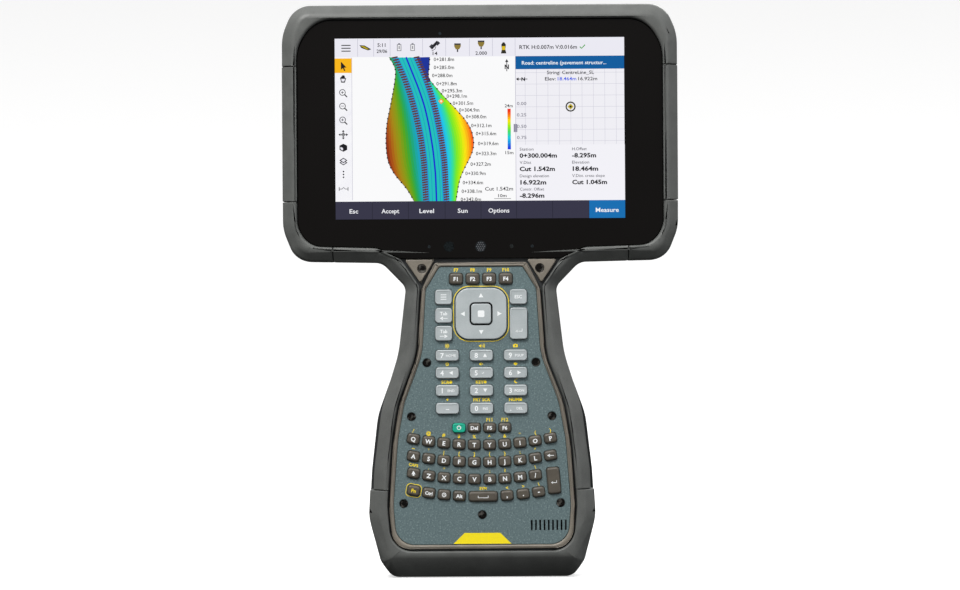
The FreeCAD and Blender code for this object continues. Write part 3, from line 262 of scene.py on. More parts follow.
def lit_screen():
    """Backlit colour display behind bonded glass: the picture gives its own light, and the glass over it a
    soft sheen."""
    material, tree = new_tree("backlit_colour_display")
    paint = add(tree, "Attribute", attribute_name="paint")
    place = add(tree, "TexCoord").outputs["Object"]
    glow = add(tree, "TexNoise", {"Vector": place, "Scale": per_mm(60), "Detail": 1.0})
    even = add(tree, "MapRange", {0: glow.outputs["Fac"], 1: 0.3, 2: 0.7, 3: 0.985, 4: 1.0})
    picture = add(tree, "Mix", {0: 1.0, 6: paint.outputs["Color"], 7: even.outputs[0]},
                  data_type="RGBA", blend_type="MULTIPLY")
    shader = add(tree, "BsdfPrincipled",
                 {"Base Color": linear("050505"), "Roughness": 0.25, "Specular IOR Level": 0.2,
                  "Emission Color": picture.outputs[2], "Emission Strength": 0.97})
    finish_material(tree, shader)
    return material


def blackened_steel():
    """Black-oxide steel: dark brown-black with a worn, brighter sheen where a driver has touched it."""
    material, tree = new_tree("black_oxide_steel")
    place = add(tree, "TexCoord").outputs["Object"]
    wear = add(tree, "TexNoise", {"Vector": place, "Scale": per_mm(2.5), "Detail": 1.0})
    edge = add(tree, "MapRange", {0: wear.outputs["Fac"], 1: 0.5, 2: 0.8})
    shade = add(tree, "Mix", {0: edge.outputs[0], 6: linear("2c2a28"), 7: linear("b4b0a8")},
                data_type="RGBA")
    shader = add(tree, "BsdfPrincipled",
                 {"Base Color": shade.outputs[2], "Metallic": 1.0, "Roughness": 0.3})
    finish_material(tree, shader)
    return material


def lens_glass():
    """Coated lens glass: near black with a hard reflection and a violet tint of the coating."""
    material, tree = new_tree("coated_lens_glass")
    place = add(tree, "TexCoord").outputs["Object"]
    coat = add(tree, "TexNoise", {"Vector": place, "Scale": per_mm(6), "Detail": 1.0})
    tint = add(tree, "Mix", {0: coat.outputs["Fac"], 6: linear("08070b"), 7: linear("1b1630")},
               data_type="RGBA")
    shader = add(tree, "BsdfPrincipled",
                 {"Base Color": tint.outputs[2], "Roughness": 0.06, "IOR": 1.52, "Coat Weight": 0.6,
                  "Coat Roughness": 0.03})
    finish_material(tree, shader)
    return material


RIB, TWILL = 1.6, 0.8
WAVE_TURN = 20


def woven_webbing():
    """Nylon webbing: ribs RIB mm apart along the band, crossed by slanting threads, on the band's own UV map
    in mm. A wave turns through 20 radians a unit across and half as many on the slant, so the threads, wound
    at TWILL mm, lie 1.1 mm apart, coarser than real ones so that they show."""
    material, tree = new_tree("woven_nylon_webbing")
    run = add(tree, "UVMap", uv_map="weave").outputs["UV"]
    ribs = add(tree, "TexWave", {"Vector": run, "Scale": math.tau / RIB / WAVE_TURN,
                                           "Distortion": 0.4, "Detail": 1.0, "Detail Scale": 2.0},
               wave_type="BANDS", bands_direction="X", wave_profile="SIN")
    threads = add(tree, "TexWave", {"Vector": run, "Scale": math.tau / TWILL / WAVE_TURN,
                                              "Distortion": 0.6, "Detail": 1.0},
                  wave_type="BANDS", bands_direction="DIAGONAL", wave_profile="SIN")
    weave = add(tree, "Math", {0: ribs.outputs["Fac"], 1: threads.outputs["Fac"]},
                operation="MULTIPLY")
    fluff = add(tree, "TexNoise", {"Vector": run, "Scale": 1.4, "Detail": 3.0})
    blend = add(tree, "Math", {0: fluff.outputs["Fac"], 1: 0.4, 2: weave.outputs[0]},
                operation="MULTIPLY_ADD")
    shade = add(tree, "Mix", {0: blend.outputs[0], 6: linear("17181a"), 7: linear("3c3e40")},
                data_type="RGBA")
    bump = add(tree, "Bump", {"Height": weave.outputs[0], "Distance": 0.35 * MM, "Strength": 0.9})
    shader = add(tree, "BsdfPrincipled",
                 {"Base Color": shade.outputs[2], "Roughness": 0.82, "Normal": bump.outputs[0],
                  "Sheen Weight": 0.35, "Sheen Roughness": 0.5})
    finish_material(tree, shader)
    return material


def stitching_thread():
    """Bonded polyester thread: mid grey with a twist 0.5 mm long."""
    material, tree = new_tree("bonded_polyester_thread")
    place = add(tree, "TexCoord").outputs["Object"]
    twist = add(tree, "TexNoise", {"Vector": place, "Scale": per_mm(0.5), "Detail": 1.0})
    shade = add(tree, "Mix", {0: twist.outputs["Fac"], 6: linear("4a4d4f"), 7: linear("83878a")},
                data_type="RGBA")
    shader = add(tree, "BsdfPrincipled", {"Base Color": shade.outputs[2], "Roughness": 0.7})
    finish_material(tree, shader)
    return material


# The over-moulded bumpers are a matt elastomer with a fine spark-eroded grain: soft grey, no gloss.
bumper_rubber = moulded("spark_grained_elastomer", "525452", "5f615f", 0.5, 0.5, 0.04)
# The two shells are glass-filled polycarbonate: darker, a little harder and shinier than the rubber.
front_case = moulded("glass_filled_polycarbonate", "242627", "2c2f30", 0.5, 0.45, 0.03)
rear_case = moulded("grained_glass_filled_polycarbonate", "474b4b", "525757", 0.56, 0.7, 0.07)
# The keypad rim is a satin brown-grey moulding that catches light along its rounded edge.
rim_moulding = moulded("satin_brown_grey_moulding", "756f65", "857e73", 0.4, 0.4, 0.015)
# Silicone under the keys: dull and dark, so the gaps round the caps read as black lines.
key_mat = moulded("dull_black_silicone", "26282a", "2c2e30", 0.75, 0.6, 0.02)
# Solder mask over glass laminate: glossy dark green.
board_mask = moulded("solder_masked_laminate", "0d4128", "125234", 0.3, 0.35, 0.01)
# The display cell behind the glass, seen only from the edge.
display_cell = moulded("polarised_display_cell", "b9bcc6", "cdd0da", 0.25, 0.4, 0.01)
# Battery packs and module are grained polycarbonate, slightly darker than the shell they sit in.
battery_case = moulded("grained_battery_polycarbonate", "434747", "4e5353", 0.58, 0.6, 0.06)
module_cover = moulded("grained_module_polycarbonate", "414546", "4b5051", 0.6, 0.6, 0.06)
# Acetal slides: waxy black with a low sheen.
latch_plastic = moulded("black_acetal", "17181a", "202224", 0.34, 0.8, 0.02)
# The port door is the same family of elastomer as the bumpers, a shade darker.
door_rubber = moulded("grained_door_elastomer", "393c3d", "454849", 0.64, 0.5, 0.05)
# Socket block: glossy black nylon.
socket_block = moulded("black_moulded_nylon", "0f0f10", "17181a", 0.34, 0.5, 0.01)
speaker_mesh = moulded("black_acoustic_mesh", "090909", "141414", 0.85, 0.4, 0.08)
# Key caps are hard-coated silicone: pale grey, warm dark grey and green, satin with a fine grain.
light_key = moulded("pale_hard_coated_silicone", "a9b1b3", "b5bcbe", 0.42, 0.35, 0.012)
dark_key = moulded("dark_hard_coated_silicone", "4d4841", "595349", 0.42, 0.35, 0.012)
green_key = moulded("green_hard_coated_silicone", "0fa184", "13ae8f", 0.4, 0.35, 0.012)
key_plate = speckled_plate()
glass = cover_glass()
# Enamel ink printed on the caps and the plate: satin. Behind the glass it is deep and almost without sheen.
ink = printed_ink("screen_printed_ink", 0.42, 0.5)
deep_ink = printed_ink("ink_printed_behind_glass", 0.3, 0.1)
screen_light = lit_screen()
steel = blackened_steel()
lens = lens_glass()
webbing = woven_webbing()
thread = stitching_thread()

NUMBER_ROWS = [("number_seven", "number_eight", "number_nine"), ("number_four", "number_five", "number_six"),
               ("number_one", "number_two", "number_three"), ("minus_key", "number_zero", "point_key")]
LETTER_NODES = ["letters_top", "letters_middle", "letters_lower", "letters_bottom", "letter_enter_key"]
FINISHES = [
    (bumper_rubber, ["top_bumper", "left_bumper", "right_bumper", "lower_left_bumper", "lower_right_bumper",
                     "left_grip_bumper", "right_grip_bumper", "base_bumper"]),
    (front_case, ["front_housing"]),
    (rear_case, ["rear_housing", "strap_clamps"]),
    (rim_moulding, ["keypad_rim", "gusset_plates"]),
    (key_plate, ["keypad_plate"]),
    (key_mat, ["keypad_mat"]),
    (board_mask, ["keypad_board", "main_board"]),
    (glass, ["display_glass"]),
    (display_cell, ["display_panel"]),
    (steel, ["front_screws", "rear_screws", "port_hinge_pin"]),
    (battery_case, ["left_battery", "right_battery"]),
    (module_cover, ["radio_module"]),
    (latch_plastic, ["left_battery_latch", "right_battery_latch", "navigation_pivot"]),
    (door_rubber, ["port_door"]),
    (socket_block, ["port_block"]),
    (speaker_mesh, ["speaker"]),
    (lens, ["camera_window"]),
    (light_key, ["navigation_ring", "select_key", "menu_key", "tab_back_key", "tab_key", "escape_key",
                 "enter_key", *[name for row in NUMBER_ROWS for name in row]]),
    (dark_key, ["function_keys", "edit_keys", *LETTER_NODES]),
    (green_key, ["power_key"]),
]


def finish_nodes():
    """Give every CAD node its own finish."""
    for material, names in FINISHES:
        for name in names:
            for place in nodes[name].material_slots:
                place.material = material


# ---------------------------------------------------------------- printed shapes

WHITE, YELLOW = "f8fbfc", "ffe010"
LAYER = 0.02                    # mm between one printed layer and the next
CAP_HEIGHT = 0.729              # of the lettering, as a part of its size
PRINT_THICK = 0.03
BOLD = 0.03                     # how far bold lettering is grown, as a part of its size


def circle_points(across, up, radius, count=28):
    """Points at equal angles round a circle."""
    angle = np.linspace(0, math.tau, count, endpoint=False)
    return np.column_stack((across + radius * np.cos(angle), up + radius * np.sin(angle)))


def rounded_box(across, up, width, height, radius, steps=6):
    """Rectangle with quarter circles at its corners, counter-clockwise."""
    turn = np.linspace(0, math.pi / 2, steps)
    rows = []
    for quarter, (sx, sy) in enumerate([(1, 1), (-1, 1), (-1, -1), (1, -1)]):
        angle = turn + quarter * math.pi / 2
        rows.append(np.column_stack((across + sx * (width / 2 - radius) + radius * np.cos(angle),
                                     up + sy * (height / 2 - radius) + radius * np.sin(angle))))
    return np.vstack(rows)


def box_points(left, low, right, high):
    """Corners of a rectangle, counter-clockwise."""
    return np.array([(left, low), (right, low), (right, high), (left, high)], float)


def lettering(text, height, weight):
    """Outlines of the text filled flat, centred, with capitals `height` mm high: points and faces."""
    curve = bpy.data.curves.new("lettering", "FONT")
    curve.body, curve.size, curve.offset = text, 1.0, weight
    curve.resolution_u = 2
    curve.align_x = "CENTER"
    holder = place_object("lettering", curve)
    bpy.context.view_layer.update()
    evaluated = holder.evaluated_get(bpy.context.evaluated_depsgraph_get())
    mesh = bpy.data.meshes.new_from_object(evaluated)
    points = np.zeros(len(mesh.vertices) * 3, np.float32)
    mesh.vertices.foreach_get("co", points)
    faces = [tuple(face.vertices) for face in mesh.polygons]
    bpy.data.objects.remove(holder)
    bpy.data.curves.remove(curve)
    bpy.data.meshes.remove(mesh)
    points = points.reshape(-1, 3)[:, :2].astype(float)
    points[:, 1] -= CAP_HEIGHT / 2
    return points * (height / CAP_HEIGHT), faces


class Print:
    """Flat coloured shapes that face forward: each point (across, up) becomes (across, depth, up), and each
    layer lies LAYER mm in front of the one below."""

    def __init__(self, name, depth):
        self.name, self.depth = name, depth
        self.points, self.faces, self.colours, self.count = [], [], [], 0

    def add(self, points, faces, colour, layer):
        points = np.asarray(points, float)
        depth = np.full(len(points), self.depth - layer * LAYER)
        self.points.append(np.column_stack((points[:, 0], depth, points[:, 1])))
        self.faces.extend(tuple(self.count + i for i in face) for face in faces)
        self.colours.extend([linear(colour)] * len(faces))
        self.count += len(points)

    def shape(self, points, colour, layer=1):
        """One filled outline, turned to run counter-clockwise if it doesn't."""
        points = np.asarray(points, float)
        following = np.roll(points, -1, axis=0)
        if np.sum(points[:, 0] * following[:, 1] - following[:, 0] * points[:, 1]) < 0:
            points = points[::-1]
        self.add(points, [tuple(range(len(points)))], colour, layer)

    def band(self, inner, outer, colour, layer=1, closed=True):
        """Strip of quads between two lines of points, as many in one as in the other."""
        n = len(inner)
        last = n if closed else n - 1
        quads = [(i, n + i, n + (i + 1) % n, (i + 1) % n) for i in range(last)]
        self.add(np.vstack((inner, outer)), quads, colour, layer)

    def ring(self, across, up, radius, line, colour, layer=1):
        """Circle drawn with a line of that width."""
        self.band(circle_points(across, up, radius - line / 2), circle_points(across, up, radius + line / 2),
                  colour, layer)

    def stroke(self, points, width, colour, layer=1):
        """Line of constant width: each point is moved half the width to both sides along the mean normal."""
        points = np.asarray(points, float)
        step = np.diff(points, axis=0)
        step /= np.linalg.norm(step, axis=1)[:, None]
        tangent = np.vstack((step[:1], step[:-1] + step[1:], step[-1:]))
        tangent /= np.linalg.norm(tangent, axis=1)[:, None]
        side = np.column_stack((-tangent[:, 1], tangent[:, 0])) * width / 2
        self.band(points + side, points - side, colour, layer, closed=False)

    def text(self, words, across, up, height, colour, weight=0.02, layer=1, fit=None, turn=0.0, align=0.0):
        """Lettering centred on the place, stretched to the width `fit` if one is given; align moves it by that
        part of its width."""
        points, faces = lettering(words, height, weight)
        width = np.ptp(points[:, 0])
        if fit:
            points[:, 0] *= fit / width
            width = fit
        points[:, 0] += align * width
        cos, sin = math.cos(turn), math.sin(turn)
        turned = np.column_stack((points[:, 0] * cos - points[:, 1] * sin + across,
                                  points[:, 0] * sin + points[:, 1] * cos + up))
        self.add(turned, faces, colour, layer)

    def finish(self, material, body, slot_name):
        """One piece of all the shapes, their colours in its attribute "paint", given thickness backwards."""
        mesh = make_mesh(self.name, np.vstack(self.points) * MM, self.faces)
        paint = mesh.color_attributes.new("paint", "FLOAT_COLOR", "CORNER")
        corners = np.repeat(np.array(self.colours, np.float32), [len(f) for f in self.faces], axis=0)
        paint.data.foreach_set("color", corners.ravel())
        mesh.materials.append(material)
        piece = place_object(self.name, mesh)
        body_of_ink = piece.modifiers.new("ink", "SOLIDIFY")
        body_of_ink.thickness, body_of_ink.offset = PRINT_THICK * MM, -1.0
        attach(piece, body)
        return piece


def triangle(across, up, size, direction):
    """Solid triangle that points up, down, left or right."""
    turn = {"right": 0, "up": 1, "left": 2, "down": 3}[direction] * math.pi / 2
    corners = np.array([(0.5, 0), (-0.5, 0.56), (-0.5, -0.56)]) * size
    cos, sin = math.cos(turn), math.sin(turn)
    return np.column_stack((corners[:, 0] * cos - corners[:, 1] * sin + across,
                            corners[:, 0] * sin + corners[:, 1] * cos + up))


def front_of(name):
    """Depth of a CAD node's front, mm."""
    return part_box(name)[0].y / MM


def centre_of(name):
    """Middle of a CAD node seen from the front, mm."""
    low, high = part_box(name)
    return (low.x + high.x) / 2 / MM, (low.z + high.z) / 2 / MM


SHAFT, THIN_SHAFT = 0.32, 0.3   # width of an arrow's shaft


def arrow(ink_set, across, up, length, direction, colour):
    """Shaft with a solid head at one end."""
    sign = 1 if direction == "right" else -1
    ink_set.stroke([(across - sign * length / 2, up), (across + sign * length * 0.2, up)], SHAFT, colour)
    ink_set.shape(triangle(across + sign * length * 0.3, up, length * 0.42, direction), colour)


def return_arrow(ink_set, across, up, size, colour):
    """Arrow to the left whose shaft turns up at its right end."""
    ink_set.stroke([(across - size * 0.3, up), (across + size * 0.5, up)], THIN_SHAFT, colour)
    ink_set.stroke([(across + size * 0.5, up - THIN_SHAFT / 2), (across + size * 0.5, up + size * 0.38)],
                   THIN_SHAFT, colour)
    ink_set.shape(triangle(across - size * 0.32, up, size * 0.36, "left"), colour)


def legend_for(node):
    """Empty legend that lies on the node's caps."""
    return Print(f"legend_{node}", front_of(node) + CAP_DISH.get(node, 0.0))


# How far the middle of a cap lies behind its node's front, mm.
LIGHT_DISH = 0.15
CAP_DISH = {name: LIGHT_DISH for name in ["menu_key", "tab_back_key", "tab_key", "escape_key", "enter_key",
                                          "power_key", *[name for row in NUMBER_ROWS for name in row]]}
NUMBER_TEXT = {
    "number_seven": ("7", "HOME"), "number_eight": ("8", "up"), "number_nine": ("9", "PGUP"),
    "number_four": ("4", "left"), "number_five": ("5", "dash"), "number_six": ("6", "right"),
    "number_one": ("1", "END"), "number_two": ("2", "down"), "number_three": ("3", "PGDN"),
    "minus_key": ("", "minus"), "number_zero": ("0", "INS"), "point_key": (".", "DEL"),
}
LETTER_PITCH, LETTER_CURVE = 7.93, 0.0026
TOP_UP, MIDDLE_UP, LOWER_UP, BOTTOM_UP = 69.3, 60.3, 51.4, 42.4     # height of each row's middle
LETTER_ROWS = {"letters_top": (TOP_UP, "QWERTYUIOP"), "letters_middle": (MIDDLE_UP, "ASDFGHJKL"),
               "letters_lower": (LOWER_UP, " ZXCVBNM/")}
FUNCTION_ACROSS = (-12.95, -4.3, 4.3, 12.95)
# Place of each key of the bottom row, counted in letter keys from the left.
BOTTOM_PLACES = {"fn": 0, "control": 1, "symbol": 2, "alt": 3, "comma": 6.13, "full_stop": 7.19, "dash": 8.21}


def letter_place(count, row):
    """Centre and turn of a letter key: evenly spaced across, on a parabola that climbs to both sides."""
    across = (count - 4.5) * LETTER_PITCH
    return across, row + LETTER_CURVE * across ** 2, math.atan(2 * LETTER_CURVE * across)


def print_small_keys():
    """Legends of the pale keys round the navigation ring."""
    for name in ("menu_key", "tab_back_key", "tab_key", "escape_key", "enter_key"):
        across, up = centre_of(name)
        legend = legend_for(name)
        if name == "menu_key":
            for step in (-1.15, 0, 1.15):
                legend.shape(box_points(across - 1.5, up + step - 0.2, across + 1.5, up + step + 0.2), WHITE)
        elif name == "escape_key":
            legend.text("ESC", across, up, 1.75, WHITE)
        elif name == "enter_key":
            return_arrow(legend, across, up - 4.1, 3.6, WHITE)
        else:
            legend.text("Tab", across, up + 1.05, 1.85, WHITE)
            arrow(legend, across, up - 1.5, 4.1, "left" if name == "tab_back_key" else "right", WHITE)
        legend.finish(ink, name, "light_key")


ARROW_OUT = 9.6                 # from the ring's middle to each of its triangles


def print_navigation():
    """White triangles towards the four sides, and the rounded square on the select key."""
    across, up = centre_of("navigation_ring")
    legend = legend_for("navigation_ring")
    for direction, dx, dz in (("up", 0, 1), ("down", 0, -1), ("left", -1, 0), ("right", 1, 0)):
        legend.shape(triangle(across + dx * ARROW_OUT, up + dz * ARROW_OUT, 2.2, direction), WHITE)
    legend.finish(ink, "navigation_ring", "light_key")
    across, up = centre_of("select_key")
    legend = legend_for("select_key")
    legend.shape(rounded_box(across, up, 3.5, 3.5, 0.7), WHITE)
    legend.finish(ink, "select_key", "light_key")


def print_number_keys():
    """Digit at the left of each cap, second function at its right."""
    for name, (digit, second) in NUMBER_TEXT.items():
        across, up = centre_of(name)
        legend = legend_for(name)
        if digit:
            legend.text(digit, across - 2.7, up, 2.7, WHITE)
        if second in ("up", "down", "left", "right"):
            legend.shape(triangle(across + 1.9, up, 1.9, second), WHITE)
        elif second == "dash":
            legend.stroke([(across + 0.2, up - 0.1), (across + 0.8, up - 0.4), (across + 1.3, up + 0.3)],
                          0.3, WHITE)
        elif second == "minus":
            legend.shape(box_points(across - 0.9, up - 0.75, across + 0.9, up - 0.4), WHITE)
        else:
            legend.text(second, across + 1.9, up - 0.1, 1.35, WHITE, weight=0.015)
        legend.finish(ink, name, "light_key")


def print_dark_keys():
    """Function, edit, letter and power keys."""
    legend = legend_for("function_keys")
    for count, across in enumerate(FUNCTION_ACROSS, start=1):
        legend.text(f"F{count}", across, 155.8, 2.1, WHITE, weight=BOLD)
    legend.finish(ink, "function_keys", "dark_key")
    legend = legend_for("edit_keys")
    for words, across in (("Del", -3.9), ("F5", 4.1), ("F6", 12.0)):
        legend.text(words, across, 78.2, 2.0, WHITE, weight=BOLD)
    legend.finish(ink, "edit_keys", "dark_key")
    legend = legend_for("power_key")
    across, up = centre_of("power_key")
    legend.ring(across, up + 0.1, 0.95, 0.34, WHITE)
    legend.shape(box_points(across - 0.17, up + 0.45, across + 0.17, up + 1.5), WHITE, layer=2)
    legend.finish(ink, "power_key", "green_key")
    for name, (row, letters) in LETTER_ROWS.items():
        legend = legend_for(name)
        for count, letter in enumerate(letters):
            across, up, turn = letter_place(count, row)
            if letter != " ":
                legend.text(letter, across, up, 2.3, WHITE, weight=BOLD, turn=turn)
        if name == "letters_middle":
            across, up, turn = letter_place(9, row)
            arrow(legend, across, up, 3.6, "left", WHITE)
        if name == "letters_lower":
            across, up, turn = letter_place(0, row)
            legend.shape(triangle(across, up + 0.5, 1.9, "up"), WHITE)
            legend.shape(box_points(across - 0.45, up - 1.2, across + 0.45, up - 0.3), WHITE)
        legend.finish(ink, name, "dark_key")
    print_bottom_row()
    legend = legend_for("letter_enter_key")
    across, up = centre_of("letter_enter_key")
    return_arrow(legend, across, up - 1.0, 3.0, WHITE)
    legend.finish(ink, "letter_enter_key", "dark_key")


def print_bottom_row():
    """Legends of the bottom row, with the trough of the space bar."""
    legend = legend_for("letters_bottom")
    for key, count in BOTTOM_PLACES.items():
        across, up, turn = letter_place(count, BOTTOM_UP)
        if key == "fn":
            legend.text("Fn", across, up, 1.9, YELLOW, weight=BOLD, turn=turn)
        elif key == "control":
            legend.text("Ctrl", across, up, 1.75, WHITE, weight=BOLD, turn=turn)
        elif key == "alt":
            legend.text("Alt", across, up, 1.9, WHITE, weight=BOLD, turn=turn)
        elif key == "symbol":
            legend.ring(across, up, 0.95, 0.4, WHITE)
            legend.shape(circle_points(across, up, 0.35, 14), WHITE)
        else:
            legend.text({"comma": ",", "full_stop": ".", "dash": "-"}[key], across, up + 0.3, 2.4, WHITE,
                        weight=0.04, turn=turn)
    legend.stroke([(-2.1, 42.9), (-2.1, 41.8), (3.1, 41.8), (3.1, 42.9)], 0.35, WHITE)
    legend.finish(ink, "letters_bottom", "dark_key")


# Yellow second functions, printed on the plate above each row of keys.
SECOND_TOP = "/@#$%^&*()"
SECOND_MIDDLE = "~'|[]{}:\""
SECOND_LOWER = {1: ".", 2: "*", 3: ";", 5: ":", 6: "?", 8: "\\"}
SECOND_BOTTOM = {6.13: "<", 7.19: ">", 8.21: "\\"}


def lock(ink_set, across, up):
    """Padlock: a solid body under a shackle ring."""
    ink_set.shape(box_points(across - 0.72, up - 0.75, across + 0.72, up + 0.35), YELLOW)
    ink_set.ring(across, up + 0.35, 0.45, 0.28, YELLOW, 2)


def loudspeaker(ink_set, across, up, waves):
    """Cone and magnet, with arcs for the waves."""
    ink_set.shape([(across - 1.2, up - 0.35), (across - 0.7, up - 0.35), (across, up - 0.95),
                   (across, up + 0.95), (across - 0.7, up + 0.35), (across - 1.2, up + 0.35)], YELLOW)
    angle = np.linspace(-0.7, 0.7, 8)
    for radius in waves:
        ink_set.stroke(np.column_stack((across + radius * np.cos(angle), up + radius * np.sin(angle))), 0.26,
                       YELLOW)


def print_plate():
    """Second functions, the outline of the navigation ring and the outline of the Fn key."""
    plate = Print("plate_legends", front_of("keypad_plate"))
    across, up = centre_of("navigation_ring")
    plate.band(rounded_box(across, up, 28.3, 28.3, 8.0, 10), rounded_box(across, up, 29.1, 29.1, 8.4, 10),
               YELLOW)
    for count, x in enumerate(FUNCTION_ACROSS, start=7):
        plate.text(f"F{count}", x, 160.5, 1.8, YELLOW, weight=BOLD)
    for words, x in (("F11", 4.1), ("F12", 12.0)):
        plate.text(words, x, 82.4, 1.8, YELLOW, weight=BOLD)
    plate.ring(-17.8, 120.9, 0.6, 0.4, YELLOW)
    for turn in np.linspace(0, math.tau, 8, endpoint=False):
        ray = np.array([(math.cos(turn), math.sin(turn))])
        plate.stroke(np.vstack((ray * 0.95, ray * 1.35)) + (-17.8, 120.9), 0.28, YELLOW)
    loudspeaker(plate, 0, 120.9, (0.6, 1.15, 1.7))
    plate.shape(rounded_box(17.8, 120.8, 2.5, 1.5, 0.35), YELLOW)
    plate.shape(box_points(17.2, 121.4, 18.4, 121.85), YELLOW, 2)
    plate.shape(circle_points(17.8, 120.8, 0.42, 16), PLATE, 2)
    plate.ring(-17.8, 111.4, 0.7, 0.4, YELLOW)
    plate.shape(circle_points(-17.8, 111.4, 0.25, 12), YELLOW)
    loudspeaker(plate, 0, 111.4, (0.6,))
    plate.shape([(16.6, 111.4), (17.8, 110.5), (19.0, 111.4), (17.8, 112.3)], YELLOW)
    for words, x in (("SCR", -18.9), ("KEY", -1.0)):
        plate.text(words, x, 102.1, 1.7, YELLOW, weight=BOLD)
    for x in (-16.0, 1.9):
        lock(plate, x, 102.1)
    moon = np.linspace(-2.0, 2.0, 14)
    plate.band(np.column_stack((18.0 - 1.0 * np.cos(moon), 102.3 - 1.0 * np.sin(moon)))[::-1],
               np.column_stack((18.5 - 0.9 * np.cos(moon * 0.95), 102.7 - 0.9 * np.sin(moon * 0.95)))[::-1],
               YELLOW, closed=False)
    plate.shape([(-18.5, 92.9), (-17.8, 92.2), (-17.1, 92.9), (-17.8, 93.6)], YELLOW)
    plate.text("PRT SCR", 0.0, 92.9, 1.7, YELLOW, weight=BOLD)
    plate.text("NUM", 16.9, 92.9, 1.7, YELLOW, weight=BOLD)
    lock(plate, 20.3, 92.9)
    for row, rise, marks in ((TOP_UP, 4.3, dict(enumerate(SECOND_TOP))),
                             (MIDDLE_UP, 4.2, dict(enumerate(SECOND_MIDDLE))),
                             (LOWER_UP, 4.2, SECOND_LOWER), (BOTTOM_UP, 4.0, SECOND_BOTTOM)):
        for count, mark in marks.items():
            x, z, turn = letter_place(count, row)
            plate.text(mark, x, z + rise, 1.8, YELLOW, weight=BOLD, turn=turn)
    x, z, turn = letter_place(0, LOWER_UP)
    plate.text("CAPS", x, z + 4.3, 1.55, YELLOW, weight=BOLD, turn=turn)
    plate.text("SYM", 0.5, 46.6, 1.55, YELLOW, weight=BOLD)
    x, z, turn = letter_place(0, BOTTOM_UP)
    inner, outer = rounded_box(0, 0, 7.5, 6.3, 1.9, 8), rounded_box(0, 0, 8.2, 7.0, 2.2, 8)
    cos, sin = math.cos(turn), math.sin(turn)
    spin = np.array([(cos, sin), (-sin, cos)])
    plate.band(inner @ spin + (x, z), outer @ spin + (x, z), YELLOW)
    plate.finish(ink, "case", "keypad_plate")


def print_label():
    """Plain yellow plate at the bottom of the keypad, narrower at its top."""
    label = Print("plate_label", front_of("keypad_plate") - 0.1)
    label.shape([(-15.1, 17.75), (15.1, 17.75), (9.3, 23.4), (-9.3, 23.4)], "ffe800", 2)
    piece = label.finish(ink, "case", "keypad_plate")
    piece.modifiers["ink"].thickness = 0.17 * MM


# ---------------------------------------------------------------- picture on the display

SCREEN_LEFT, SCREEN_TOP = -75.4, 281.3          # corner of the active area
SCREEN_WIDE, SCREEN_HIGH = 150.8, 94.2
INK_DARK, LILAC, GRID = "16161c", "eeedf6", "c9c8d6"
BAR_LOW, KEYS_TOP = 9.65, 84.9  # foot of the top bar and top of the soft keys


def on_screen(points):
    """Screen place (right, down from the active area's corner, mm) to (across, up)."""
    points = np.atleast_2d(np.asarray(points, float))
    return np.column_stack((SCREEN_LEFT + points[:, 0], SCREEN_TOP - points[:, 1]))


class Screen(Print):
    """Print with places counted right and down from the top left corner of the active area."""

    def area(self, left, top, right, low, colour, layer=1):
        self.shape(on_screen([(left, low), (right, low), (right, top), (left, top)]), colour, layer)

    def line(self, points, width, colour, layer=2):
        self.stroke(on_screen(points), width, colour, layer)

    def words(self, text, right, down, height, fit=None, colour=INK_DARK, weight=0.012, layer=3, align=0.0):
        x, z = on_screen((right, down))[0]
        self.text(text, x, z, height, colour, weight, layer, fit, 0.0, align)

    def disc(self, right, down, radius, colour, layer=3):
        x, z = on_screen((right, down))[0]
        self.shape(circle_points(x, z, radius, 20), colour, layer)

    def hoop(self, right, down, radius, line, colour, layer=3):
        x, z = on_screen((right, down))[0]
        self.ring(x, z, radius, line, colour, layer)

    def outline(self, points, colour, layer=3):
        self.shape(on_screen(points), colour, layer)


GRID_STEP, GRID_START = 0.06331, (2.61, 2.09)   # mm to a step of the map's drawing grid, and its corner


def on_map(points):
    """Places on the survey map, from its own drawing grid to mm on the screen."""
    return np.asarray(points, float) * GRID_STEP - GRID_START


def resample(points, count):
    """`count` points evenly spaced in height along a line of points."""
    points = np.asarray(points, float)
    down = np.linspace(points[0, 1], points[-1, 1], count)
    return np.column_stack((np.interp(down, points[:, 1], points[:, 0]), down))


def smooth(points, count=60):
    """The line resampled and averaged with its neighbours, ends kept."""
    points = resample(points, count)
    for _ in range(6):
        points[1:-1] = (points[:-2] + 2 * points[1:-1] + points[2:]) / 4
    return points


MAP_LEFT_EDGE = [(488, 188), (548, 280), (530, 420), (495, 600), (468, 720), (458, 850), (460, 950), (475, 1060),
                 (530, 1160), (630, 1270), (690, 1380)]
MAP_RIGHT_EDGE = [(822, 188), (818, 300), (795, 372), (830, 385), (905, 480), (1010, 590), (1110, 700),
                  (1165, 790), (1185, 900), (1170, 980), (1100, 1110), (1060, 1200), (1030, 1380)]
MAP_CENTRE = [(628, 188), (680, 320), (735, 460), (780, 600), (815, 760), (845, 950), (865, 1150), (872, 1380)]
MAP_LADDER_LEFT = [(535, 190), (605, 340), (655, 480), (700, 640), (745, 850), (770, 1050), (785, 1380)]
MAP_LADDER_RIGHT = [(715, 190), (790, 360), (830, 480), (875, 650), (915, 860), (940, 1050), (955, 1380)]
RAINBOW = ["1830e0", "1090e8", "18d0e8", "40e070", "a0f000", "ffe800", "ff8010", "f02010"]
LEFT_LOBE = ["1498e0", "10a8b8", "18a868", "50a818", "8a9c08", "a88808", "b05808", "8a2408"]
RIGHT_LOBE = ["1088e8", "18c8f0", "30e0a0", "78ec28", "b8f000", "ffe800", "ffa808", "ff5010"]
FILL_BLUE = "14309a"


